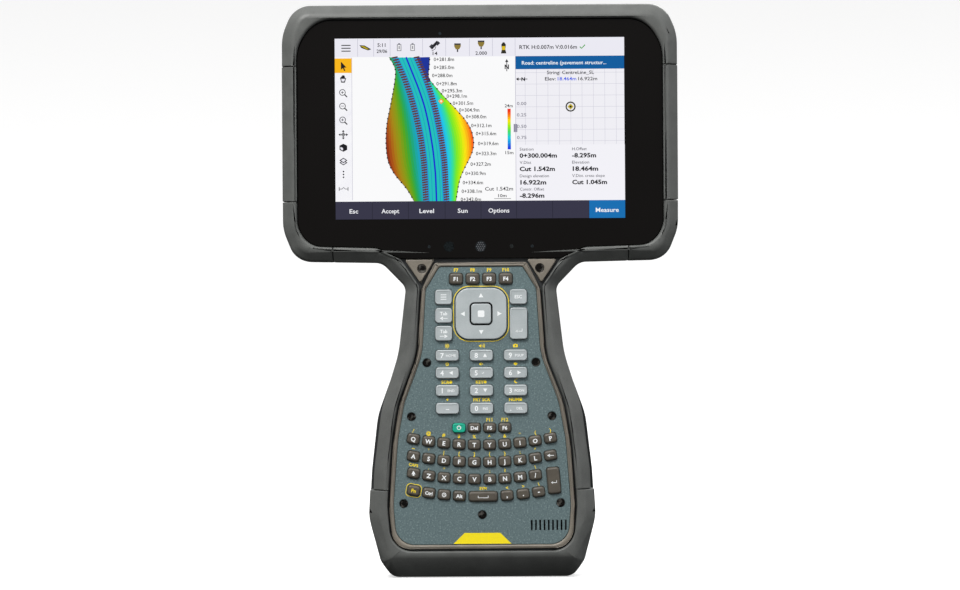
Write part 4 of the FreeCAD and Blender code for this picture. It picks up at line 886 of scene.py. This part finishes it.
def mixed(shades, value):
    """Colour at `value`, 0 to 1, along evenly spaced shades, mixed in sRGB."""
    codes = np.array([[int(code[i:i + 2], 16) for i in (0, 2, 4)] for code in shades], float)
    stops = np.linspace(0, 1, len(shades))
    return "".join(f"{int(round(float(np.interp(value, stops, codes[:, i])))):02x}" for i in range(3))


def draw_map(screen):
    """Cut and fill map: strips between the outer edge and the road, coloured by how far out they lie and how
    wide the lobe is there, with the road, its rungs and its blue centre line over them."""
    left, right = smooth(on_map(MAP_LEFT_EDGE)), smooth(on_map(MAP_RIGHT_EDGE))
    centre = smooth(on_map(MAP_CENTRE))
    ladders = [smooth(on_map(line)) for line in (MAP_LADDER_LEFT, MAP_LADDER_RIGHT)]
    columns = 14
    notch = on_map((795, 372))[1]
    for edge, inner, shades in ((left, ladders[0], LEFT_LOBE), (right, ladders[1], RIGHT_LOBE)):
        widest = np.abs(edge[:, 0] - inner[:, 0]).max()
        for row in range(len(edge) - 1):
            wide = abs(edge[row, 0] - inner[row, 0]) / widest
            filled = shades is RIGHT_LOBE and inner[row, 1] < notch
            for step in range(columns):
                a, b = step / columns, (step + 1) / columns
                corners = [inner[row] * (1 - a) + edge[row] * a, inner[row] * (1 - b) + edge[row] * b,
                           inner[row + 1] * (1 - b) + edge[row + 1] * b,
                           inner[row + 1] * (1 - a) + edge[row + 1] * a]
                reach = 0.5 * (a + b) * (0.25 + 0.75 * wide)
                screen.outline(corners, FILL_BLUE if filled else mixed(shades, reach), 2)
    screen.band(on_screen(ladders[0]), on_screen(ladders[1]), "1498dc", 3, closed=False)
    screen.band(on_screen(ladders[0] + (2.0, 0)), on_screen(ladders[1] - (2.0, 0)), "1cc2bc", 4,
                closed=False)
    for line in ladders:
        for x, y in line:
            screen.line([(x - 1.5, y + 0.28), (x + 1.5, y - 0.28)], 0.8, "573c34", 5)
        screen.line(line, 0.25, "7a2014", 6)
    for line, colour, wide in ((centre, "1424d0", 0.85), (left, "303030", 0.22), (right, "303030", 0.22),
                               (centre - (2.1, 0), "1478c8", 0.2), (centre + (2.1, 0), "1478c8", 0.2)):
        screen.line(line, wide, colour, 6)
    for x, y in np.vstack((left[1:-1:2], right[1:-1:2])):
        screen.disc(x, y, 0.42, "202020", 7)


CHAINAGE = ["0+281.8m", "0+285.0m", "0+288.0m", "0+291.8m", "0+295.3m", "0+298.1m", "0+301.5m", "0+304.9m",
            "0+308.0m", "0+312.1m", "0+315.6m", "0+319.6m", "0+323.3m", "0+327.2m", "0+330.9m", "0+334.6m",
            "0+338.1m", "0+342.0m"]
CHAINAGE_PLACES = [(56.9, 11.0), (56.9, 15.2), (56.0, 19.4), (58.2, 23.7), (61.0, 27.4), (63.5, 30.2),
                   (66.7, 33.9), (69.9, 37.5), (73.5, 41.0), (76.2, 45.6), (78.6, 49.8), (79.7, 55.0),
                   (78.6, 60.2), (75.7, 65.7), (73.0, 70.5), (71.6, 75.3), (71.0, 79.8), (70.5, 84.0)]


def draw_map_marks(screen):
    """Chainage, colour scale, north arrow, distance scale and the place marker."""
    for text, (x, y) in zip(CHAINAGE, CHAINAGE_PLACES):
        screen.words(text, x, y, 1.9, 10.6, "101010", 0.012, 8)
    steps = 24
    for step in range(steps):
        top = 37.0 + 21.2 * step / steps
        screen.area(89.8, top, 91.5, top + 21.2 / steps, mixed(RAINBOW, 1 - step / (steps - 1)), 3)
    screen.words("24m", 90.5, 35.4, 1.75, 4.2)
    screen.words("15m", 90.5, 59.8, 1.75, 4.2)
    screen.words("Cut 1.542m", 85.2, 78.6, 2.0, 14.6)
    screen.words("10m", 86.7, 82.2, 1.7, 4.4)
    screen.line([(82.6, 83.8), (91.4, 83.8)], 0.22, INK_DARK, 3)
    north_arrow(screen, 89.6, 14.9, upright=True)
    screen.outline([(55.3, 31.4), (56.8, 32.9), (55.3, 34.4), (53.8, 32.9)], "ff8c10", 8)
    screen.outline([(55.3, 32.1), (56.1, 32.9), (55.3, 33.7), (54.5, 32.9)], "fff0d0", 9)


def north_arrow(screen, x, y, upright):
    """Two small heads on one shaft beside an N."""
    if upright:
        screen.line([(x, y - 2.6), (x, y + 2.6)], 0.4, INK_DARK, 3)
        screen.outline([(x, y - 3.8), (x + 0.9, y - 2.2), (x - 0.9, y - 2.2)], INK_DARK, 4)
        screen.words("N", x, y + 0.2, 2.3, weight=0.04, layer=4)
    else:
        screen.line([(x - 2.6, y), (x + 2.4, y)], 0.4, INK_DARK, 3)
        screen.outline([(x - 3.6, y), (x - 2.2, y + 0.9), (x - 2.2, y - 0.9)], INK_DARK, 4)
        screen.words("N", x + 0.2, y, 1.9, weight=0.04, layer=4)


def draw_top_bar(screen):
    """Status cells along the top: menu, time, links, satellites, receivers and the precision."""
    screen.area(0, 0, SCREEN_WIDE, BAR_LOW, LILAC)
    for x in (11.95, 20.3, 28.9, 45.8, 57.85, 70.2, 82.2, 94.0):
        screen.line([(x, 0.3), (x, 9.4)], 0.2, "b9b8c8")
    for y in (3.5, 5.0, 6.5):
        screen.area(3.5, y - 0.25, 8.3, y + 0.25, INK_DARK, 3)
    screen.outline([(12.9, 3.4), (15.6, 3.6), (19.0, 5.6), (17.4, 6.2), (15.2, 5.4), (13.9, 4.9)], "20241c", 3)
    screen.outline([(13.4, 3.8), (15.4, 4.0), (17.8, 5.6), (16.8, 5.7), (15.0, 4.8)], "b7a21c", 4)
    screen.words("5:11", 24.6, 3.4, 1.95, 4.2, weight=0.015)
    screen.words("29/06", 24.6, 6.6, 1.85, 5.5, weight=0.015)
    for x in (33.6, 40.6):
        screen.outline([(x - 1.15, 6.6), (x + 1.15, 6.6), (x + 1.15, 3.1), (x + 0.5, 3.1), (x + 0.5, 2.5),
                        (x - 0.5, 2.5), (x - 0.5, 3.1), (x - 1.15, 3.1)], "8a8a92", 3)
        screen.area(x - 0.75, 3.5, x + 0.75, 6.2, "f8f8fa", 4)
        screen.area(x - 0.3, 4.0, x + 0.3, 5.6, "8a8a92", 5)
    screen.line([(50.2, 5.4), (53.8, 1.8)], 1.5, INK_DARK, 3)
    screen.outline([(49.2, 4.4), (50.6, 3.0), (51.6, 4.0), (50.2, 5.4)], "33333b", 4)
    screen.outline([(52.6, 3.0), (54.0, 1.6), (55.0, 2.6), (53.6, 4.0)], "33333b", 4)
    screen.line([(50.6, 6.6), (52.2, 5.8), (52.8, 4.4)], 0.3, INK_DARK, 4)
    screen.words("14", 52.0, 7.9, 1.85, 2.5, weight=0.015)
    for x, y in ((64.0, 4.7), (76.3, 3.3)):
        screen.outline([(x - 1.7, y - 1.9), (x + 1.7, y - 1.9), (x + 1.7, y - 0.3), (x + 0.9, y + 1.2),
                        (x - 0.9, y + 1.2), (x - 1.7, y - 0.3)], "8e7a36", 3)
        screen.area(x - 1.7, y - 1.9, x + 1.7, y - 1.1, "3a3a40", 4)
        screen.area(x - 0.35, y + 1.2, x + 0.35, y + 2.6, "3a3a40", 3)
    screen.words("2.000", 76.3, 7.9, 1.85, 6.0, weight=0.015)
    screen.outline([(86.6, 8.2), (89.4, 8.2), (88.9, 6.0), (89.2, 3.6), (88.4, 2.4), (87.6, 2.4), (86.8, 3.6),
                    (87.1, 6.0)], "2b2a20", 3)
    screen.area(87.2, 4.4, 88.8, 6.4, "e0c020", 4)
    screen.words("RTK H:0.007m V:0.016m", 111.2, 4.9, 2.1, 30.0, weight=0.015)
    screen.line([(127.7, 4.9), (128.6, 5.8), (130.4, 3.9)], 0.55, "3fa535", 3)


def draw_tools(screen):
    """Column of tools at the left of the map, the pointer chosen in yellow."""
    screen.area(0, BAR_LOW, 8.8, 84.2, LILAC)
    screen.line([(8.85, 9.8), (8.85, 84.2)], 0.2, "b9b8c8")
    screen.area(0, 10.3, 8.8, 17.85, "fbb812", 2)
    screen.outline([(3.2, 11.9), (3.2, 16.2), (4.2, 15.3), (4.9, 16.9), (5.5, 16.6), (4.8, 15.1), (6.1, 15.0)],
                   INK_DARK, 3)
    x = 4.2
    screen.outline([(x - 1.5, 20.3), (x - 0.9, 22.9), (x + 1.0, 22.9), (x + 1.7, 20.6), (x + 1.1, 20.4),
                    (x + 0.9, 19.3), (x + 0.3, 19.0), (x - 0.4, 19.2), (x - 0.9, 19.9)], INK_DARK, 3)
    screen.outline([(x - 0.9, 20.9), (x - 0.6, 22.3), (x + 0.7, 22.3), (x + 1.1, 20.9)], LILAC, 4)
    for y, mark in ((28.4, "plus"), (35.5, "minus"), (42.7, "fit")):
        screen.hoop(x - 0.3, y - 0.4, 1.5, 0.36, INK_DARK)
        screen.line([(x + 0.8, y + 0.7), (x + 2.1, y + 2.0)], 0.6, INK_DARK, 3)
        screen.line([(x - 1.0, y - 0.4), (x + 0.4, y - 0.4)], 0.3, INK_DARK, 3)
        if mark != "minus":
            screen.line([(x - 0.3, y - 1.1), (x - 0.3, y + 0.3)], 0.3, INK_DARK, 4)
    y = 50.0
    screen.line([(x - 2, y), (x + 2, y)], 0.34, INK_DARK, 3)
    screen.line([(x, y - 2), (x, y + 2)], 0.34, INK_DARK, 4)
    for dx, dy in ((0, -1), (1, 0), (0, 1), (-1, 0)):
        tip = np.array((x + 2.5 * dx, y + 2.5 * dy))
        side = np.array((-dy, dx)) * 0.75
        foot = np.array((x + 1.5 * dx, y + 1.5 * dy))
        screen.outline([tip, foot + side, foot - side], INK_DARK, 5)
    screen.hoop(x, y, 0.8, 0.3, INK_DARK)
    y = 56.8
    screen.outline([(x, y - 2.1), (x + 2, y - 1.1), (x + 2, y + 1.1), (x, y + 2.1), (x - 2, y + 1.1),
                    (x - 2, y - 1.1)], INK_DARK, 3)
    screen.outline([(x - 1.5, y - 0.5), (x - 0.2, y + 0.2), (x - 0.2, y + 1.4), (x - 1.5, y + 0.8)], LILAC, 4)
    for shift in (1.2, 0):
        y = 63.4 + shift
        screen.outline([(x, y - 1.4), (x + 2.1, y), (x, y + 1.4), (x - 2.1, y)], INK_DARK, 3 if shift else 5)
        screen.outline([(x, y - 0.9), (x + 1.35, y), (x, y + 0.9), (x - 1.35, y)], LILAC, 4 if shift else 6)
    for y in (69.2, 70.7, 72.2):
        screen.disc(x, y, 0.42, INK_DARK)
    screen.line([(x - 2.3, 78.3), (x - 0.8, 78.3), (x, 77.4), (x + 0.8, 78.3), (x + 2.3, 78.3)], 0.32,
                INK_DARK, 3)
    for dx in (-2.3, 2.3):
        screen.line([(x + dx, 77.3), (x + dx, 79.3)], 0.34, INK_DARK, 4)


# Label and its width, value and its width, place on the screen: all in mm.
FIGURES = [("Station", 7.3, "0+300.004m", 19.5, 96.0, 58.05), ("V.Dist", 6.0, "Cut 1.542m", 18.4, 96.0, 65.0),
           ("Design elevation", 15.2, "16.922m", 13.5, 96.0, 72.0),
           ("Constr. Offset", 12.6, "-8.296m", 12.8, 96.0, 78.9),
           ("H.Offset", 7.6, "-8.295m", 12.6, 123.3, 58.05), ("Elevation", 8.9, "18.464m", 13.3, 123.3, 65.0),
           ("V.Dist. cross slope", 17.0, "Cut 1.045m", 18.2, 123.3, 72.0)]


def draw_right_side(screen):
    """Section view on its grid, and the table of results under it."""
    screen.area(94.1, 9.7, 150.7, 16.46, "005c9f", 2)
    screen.words("Road: centreline (pavement structur...", 119.4, 13.1, 1.9, 44.0, "f4fafe", 0.015)
    screen.area(94.1, 16.46, 150.7, 55.84, "f3f2f8", 2)
    for x in np.arange(99.1, 150.0, 5.92):
        screen.line([(x, 16.5), (x, 55.8)], 0.16, GRID, 3)
    for y in np.arange(18.3, 55.0, 5.93):
        screen.line([(94.2, y), (150.7, y)], 0.16, GRID, 4)
    screen.words("String: CentreLine_SL", 122.7, 18.2, 1.85, 24.5, layer=5)
    screen.words("Elev:", 112.2, 21.5, 1.85, 5.6, layer=5)
    screen.words("18.464m", 120.7, 21.5, 1.85, 9.7, "2350e8", layer=5)
    screen.words("16.922m", 131.5, 21.5, 1.85, 9.9, layer=5)
    north_arrow(screen, 97.9, 21.6, upright=False)
    screen.hoop(122.7, 36.1, 2.3, 0.7, "33342a", 5)
    screen.outline([(122.7, 34.5), (124.3, 36.1), (122.7, 37.7), (121.1, 36.1)], "c9b53a", 6)
    screen.disc(122.7, 36.1, 0.6, "20211c", 7)
    for text, y in (("0.00", 34.3), ("0.25", 40.2), ("0.50", 46.2), ("0.75", 52.0)):
        screen.words(text, 97.2, y, 1.75, 5.0, "8c8b98", 0.015, 5)
    screen.area(93.0, 45.0, 94.9, 49.2, "8f8ea0", 5)
    screen.area(94.1, 55.84, SCREEN_WIDE, KEYS_TOP, "f6f5fb", 2)
    for label, label_width, value, value_width, left, down in FIGURES:
        screen.words(label, left, down, 1.6, label_width, "4a4a54", 0.005, 4, 0.5)
        screen.words(value, left, down + 3.35, 2.3, value_width, INK_DARK, 0.035, 4, 0.5)
    screen.line([(94.05, 9.8), (94.05, KEYS_TOP)], 0.25, "b4b3c4", 5)


def draw_soft_keys(screen):
    """Row of soft keys along the bottom, the last one blue."""
    screen.area(0, KEYS_TOP, SCREEN_WIDE, SCREEN_HIGH, "353447", 9)
    for x in (19.1, 37.9, 57.0, 75.7, 94.2, 113.0, 132.0):
        screen.line([(x, 85.2), (x, 94.0)], 0.25, "20202e", 10)
    screen.area(132.1, KEYS_TOP, SCREEN_WIDE, SCREEN_HIGH, "0f6fb4", 10)
    for text, x, wide in (("Esc", 9.4, 4.5), ("Accept", 28.5, 9.2), ("Level", 47.4, 7.6), ("Sun", 66.2, 5.2),
                          ("Options", 85.0, 10.9), ("Measure", 141.4, 12.0)):
        screen.words(text, x, 89.9, 2.3, wide, "f6f7fb", 0.015, 11)


def draw_screen():
    """The whole picture, layered from the white ground up."""
    screen = Screen("screen_picture", front_of("display_glass"))
    screen.area(0, BAR_LOW, 94.1, KEYS_TOP, "fdfdfe")
    draw_map(screen)
    draw_map_marks(screen)
    draw_top_bar(screen)
    draw_tools(screen)
    draw_right_side(screen)
    draw_soft_keys(screen)
    picture = screen.finish(screen_light, "case", "display_panel")
    picture.modifiers.remove(picture.modifiers["ink"])


MARKS_UP = 172.7                # height of the windows under the screen


def draw_glass_marks():
    """Sensor windows, the front lens and the microphone mesh, seen through the border of the glass."""
    marks = Print("glass_marks", front_of("display_glass"))
    for across, up, radius, colour in ((-26.8, MARKS_UP, 0.8, "17191c"), (26.8, MARKS_UP, 0.8, "17191c"),
                                       (-16.5, MARKS_UP, 2.6, "030304"), (16.1, MARKS_UP, 1.0, "191817"),
                                       (-20.6, 283.7, 0.8, "1b1e22")):
        marks.shape(circle_points(across, up, radius), colour)
    marks.ring(-16.5, MARKS_UP, 2.6, 0.25, "0c0d0e")
    marks.shape(circle_points(0, MARKS_UP, 2.9), "131315")
    for row in np.arange(-2, 3):
        for column in np.arange(-2, 3):
            x, z = (column + 0.5 * (row % 2)) * 1.05, row * 0.95
            if x * x + z * z < 5.4:
                marks.shape(circle_points(x, MARKS_UP + z, 0.34, 8), "5a5a5e", 2)
    marks.finish(deep_ink, "case", "cover_glass")


# ---------------------------------------------------------------- hand strap

# Distance behind the middle of the case and height of each bend, mm.
STRAP_LINE = [(14.6, 13.6), (14.6, 22.3), (24.7, 46.3), (24.7, 117.7), (14.6, 141.7), (14.6, 150.4)]
STRAP_WIDE = 31.2
STRAP_HALF, PAD_RISE = 1.08, 0.14               # half thickness at the ends, and what the padding adds
SEAM_ACROSS, SEAM_WIDE, SEAM_DEEP = 12.4, 0.9, 0.3
BEND = 7.0                      # mm to each side that a bend is averaged over
FIRST_STITCH = 24               # steps along the band before the first and after the last stitch


def strap_line(count):
    """Centre line of the band up the back, as depth (+Y) and height in mm: straight runs whose bends are
    rounded by the running mean over 14 mm, taken from differences of the cumulative sum."""
    corners = np.array(STRAP_LINE)
    run = np.concatenate(([0.0], np.cumsum(np.linalg.norm(np.diff(corners, axis=0), axis=1))))
    even = np.linspace(0, run[-1], 600)
    line = np.column_stack([np.interp(even, run, corners[:, i]) for i in range(2)])
    place = np.arange(len(line))
    span = np.minimum(int(BEND / even[1]), np.minimum(place, len(line) - 1 - place))
    total = np.vstack((np.zeros(2), np.cumsum(line, axis=0)))
    rounded = (total[place + span + 1] - total[place - span]) / (2 * span + 1)[:, None]
    return rounded[np.linspace(0, len(line) - 1, count).astype(int)]


def make_strap():
    """Padded band: at each place along the line the section is a superellipse STRAP_WIDE wide whose half
    thickness grows in the middle by a raised sine, pinched along two seams."""
    along, around = 150, 56
    line = strap_line(along)
    tangent = np.gradient(line, axis=0)
    tangent /= np.linalg.norm(tangent, axis=1)[:, None]
    normal = np.column_stack((tangent[:, 1], -tangent[:, 0]))
    share = np.linspace(0, 1, along)
    pad = np.clip(np.sin(np.pi * np.clip((share - 0.17) / 0.66, 0, 1)), 0, 1) ** 0.35
    angle = np.linspace(0, math.tau, around, endpoint=False)
    cos, sin = np.cos(angle), np.sin(angle)
    across = np.sign(cos) * np.abs(cos) ** 0.55 * STRAP_WIDE / 2
    flat = np.sign(sin) * np.abs(sin) ** 0.6
    seam = np.exp(-((np.abs(across) - SEAM_ACROSS) / SEAM_WIDE) ** 2)
    half = STRAP_HALF + PAD_RISE * pad[:, None] - seam[None, :] * SEAM_DEEP * (pad[:, None] > 0.05)
    offset = half * flat[None, :]
    points = np.zeros((along, around, 3))
    points[:, :, 0] = across[None, :]
    points[:, :, 1] = line[:, 0, None] + offset * normal[:, 0, None]
    points[:, :, 2] = line[:, 1, None] + offset * normal[:, 1, None]
    index = np.arange(along * around).reshape(along, around)
    after = np.roll(index, -1, axis=1)
    quads = np.stack((index[:-1], after[:-1], after[1:], index[1:]), axis=-1).reshape(-1, 4)
    faces = quads.tolist() + [index[0][::-1].tolist(), index[-1].tolist()]
    mesh = make_mesh("hand_strap_band", points.reshape(-1, 3) * MM, faces)
    mesh.validate()
    length = np.concatenate(([0.0], np.cumsum(np.linalg.norm(np.diff(line, axis=0), axis=1))))
    uv = mesh.uv_layers.new(name="weave")
    loops = np.zeros(len(mesh.loops), np.int32)
    mesh.loops.foreach_get("vertex_index", loops)
    uv.data.foreach_set("uv", np.column_stack((across[loops % around], length[loops // around])).ravel())
    mesh.materials.append(webbing)
    mesh.polygons.foreach_set("use_smooth", [True] * len(mesh.polygons))
    band = place_object("hand_strap_band", mesh)
    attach(band, "case")
    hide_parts("hand_strap")
    make_stitches(line, normal, pad)


def make_stitches(line, normal, pad):
    """Two rows of stitches: each is a six-sided bead 2.2 mm long that narrows to 0.7 of its outline 0.34 mm
    up, set on the band's outer face and turned along it."""
    half_long, half_wide, rise = 1.1, 0.28, 0.34
    outline = np.array([(-1, 0), (-0.6, 1), (0.6, 1), (1, 0), (0.6, -1), (-0.6, -1)])
    scale = np.array([1.0, 0.7])
    lift = np.array([0.0, rise])
    side = np.array([-SEAM_ACROSS, SEAM_ACROSS])
    rows = np.arange(FIRST_STITCH, len(line) - FIRST_STITCH, 2)
    run = line[rows + 1] - line[rows]
    run /= np.linalg.norm(run, axis=1)[:, None]
    foot = line[rows] + normal[rows] * (0.82 + PAD_RISE * pad[rows])[:, None]
    # axes: seam, stitch, level, corner
    along = scale[:, None] * outline[:, 0] * half_long
    points = np.zeros((2, len(rows), 2, 6, 3))
    points[..., 0] = side[:, None, None, None] + scale[:, None] * outline[:, 1] * half_wide
    for axis in range(2):
        points[..., axis + 1] = (foot[:, axis, None, None] + normal[rows, axis, None, None] * lift[:, None]
                                 + run[:, axis, None, None] * along)
    walls = [[i, (i + 1) % 6, 6 + (i + 1) % 6, 6 + i] for i in range(6)]
    bead = [[6, 7, 8, 9, 10, 11], [5, 4, 3, 2, 1, 0], *walls]
    faces = [[start + i for i in face] for start in range(0, points.size // 3, 12) for face in bead]
    mesh = make_mesh("hand_strap_stitches", points.reshape(-1, 3) * MM, faces)
    shape = bmesh.new()
    shape.from_mesh(mesh)
    bmesh.ops.recalc_face_normals(shape, faces=shape.faces)
    shape.to_mesh(mesh)
    shape.free()
    mesh.materials.append(thread)
    stitches = place_object("hand_strap_stitches", mesh)
    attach(stitches, "case")


# ---------------------------------------------------------------- floor

def make_floor():
    """Pale bowl: flat out to 2.4 m, then a quarter circle of 1 m up into an upright wall, turned about +Z.
    It glows a little, like backlit acrylic, and throws no light or shadow back on the case."""
    rise = np.linspace(0, math.pi / 2, 16)
    radius = np.concatenate(([0.3, 1.2], 2.4 + np.sin(rise), [3.4]))
    height = np.concatenate(([0.0, 0.0], 1 - np.cos(rise), [6.0])) - 0.0004
    angle = np.linspace(0, math.tau, 72, endpoint=False)
    rings = np.stack((radius[:, None] * np.cos(angle), radius[:, None] * np.sin(angle),
                      np.repeat(height[:, None], len(angle), axis=1)), axis=-1)
    index = np.arange(rings.shape[0] * len(angle)).reshape(rings.shape[0], -1)
    after = np.roll(index, -1, axis=1)
    quads = np.stack((index[:-1], index[1:], after[1:], after[:-1]), axis=-1).reshape(-1, 4)
    mesh = make_mesh("floor", rings.reshape(-1, 3), quads.tolist() + [index[0].tolist()])
    mesh.polygons.foreach_set("use_smooth", [True] * len(mesh.polygons))
    material, tree = new_tree("backlit_white_acrylic")
    place = add(tree, "TexCoord").outputs["Object"]
    cloud = add(tree, "TexNoise", {"Vector": place, "Scale": per_mm(400), "Detail": 2.0})
    shade = add(tree, "Mix", {0: cloud.outputs["Fac"], 6: linear("c6c6c6"), 7: linear("c9c9c9")},
                data_type="RGBA")
    shader = add(tree, "BsdfPrincipled",
                 {"Base Color": shade.outputs[2], "Roughness": 0.9, "Specular IOR Level": 0.1,
                  "Emission Color": (1.0, 1.0, 1.0, 1.0), "Emission Strength": 0.55})
    finish_material(tree, shader)
    mesh.materials.append(material)
    floor = place_object("floor", mesh)
    floor.visible_diffuse = False
    floor.visible_glossy = False
    floor.visible_shadow = False


# ---------------------------------------------------------------- rounded edges

# The upright and level joints between the bumpers, where their edges stay tight.
JOINT_HEIGHTS = np.array((267.0, 196.5, 46.0))
JOINT_ACROSS = 77.0
JOINT_SHARE = 0.12
# Below this height the base bumper's slopes meet too closely to be rounded.
FOOT_HIGH = 12.0
MERGE = 1e-6                    # metres within which two points are one
SHARP = math.radians(24)        # an edge that turns further than this is rounded
# Node and the width, in mm, that its sharp edges are rounded over.
SOFT_EDGES = {"top_bumper": 1.5, "left_bumper": 1.5, "right_bumper": 1.5, "lower_left_bumper": 1.5,
              "lower_right_bumper": 1.5, "left_grip_bumper": 1.2, "right_grip_bumper": 1.2,
              "base_bumper": 0.9, "keypad_rim": 0.85, "gusset_plates": 0.3, "left_battery": 0.9,
              "right_battery": 0.9, "radio_module": 1.2, "strap_clamps": 0.7, "port_door": 0.4,
              "left_battery_latch": 0.4, "right_battery_latch": 0.4}


def at_joint(face):
    """True for a face that closes the end of a bumper at one of its joints."""
    middle = face.calc_center_median() / MM
    level = abs(face.normal.z) > 0.999 and np.abs(JOINT_HEIGHTS - middle.z).min() < 0.6
    upright = abs(face.normal.x) > 0.999 and abs(abs(middle.x) - JOINT_ACROSS) < 0.6
    return level or upright


def round_edges(name, width):
    """Copy of a CAD node with its doubled points merged and its sharp edges rounded over `width` mm, but for
    those of the base's foot."""
    shape = bmesh.new()
    shape.from_mesh(nodes[name].data)
    bmesh.ops.remove_doubles(shape, verts=shape.verts, dist=MERGE)
    weight = shape.edges.layers.float.new("bevel_weight_edge")
    for edge in shape.edges:
        low = name == "base_bumper" and min(point.co.z for point in edge.verts) < FOOT_HIGH * MM
        if edge.calc_face_angle(0.0) > SHARP and not low:
            edge[weight] = JOINT_SHARE if any(at_joint(face) for face in edge.link_faces) else 1.0
    mesh = bpy.data.meshes.new(f"{name}_rounded")
    shape.to_mesh(mesh)
    shape.free()
    mesh.polygons.foreach_set("use_smooth", [True] * len(mesh.polygons))
    mesh.materials.append(nodes[name].material_slots[0].material)
    piece = place_object(f"{name}_rounded", mesh)
    bevel = piece.modifiers.new("edges", "BEVEL")
    bevel.limit_method, bevel.width, bevel.segments = "WEIGHT", width * MM, 3
    bevel.use_clamp_overlap = False
    piece.modifiers.new("shading", "WEIGHTED_NORMAL").keep_sharp = True
    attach(piece, nodes[name]["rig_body"])
    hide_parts(name)


make_camera()
make_lights()
make_floor()
finish_nodes()
for node_name, edge_width in SOFT_EDGES.items():
    round_edges(node_name, edge_width)
print_small_keys()
print_navigation()
print_number_keys()
print_dark_keys()
print_plate()
print_label()
draw_screen()
draw_glass_marks()
make_strap()
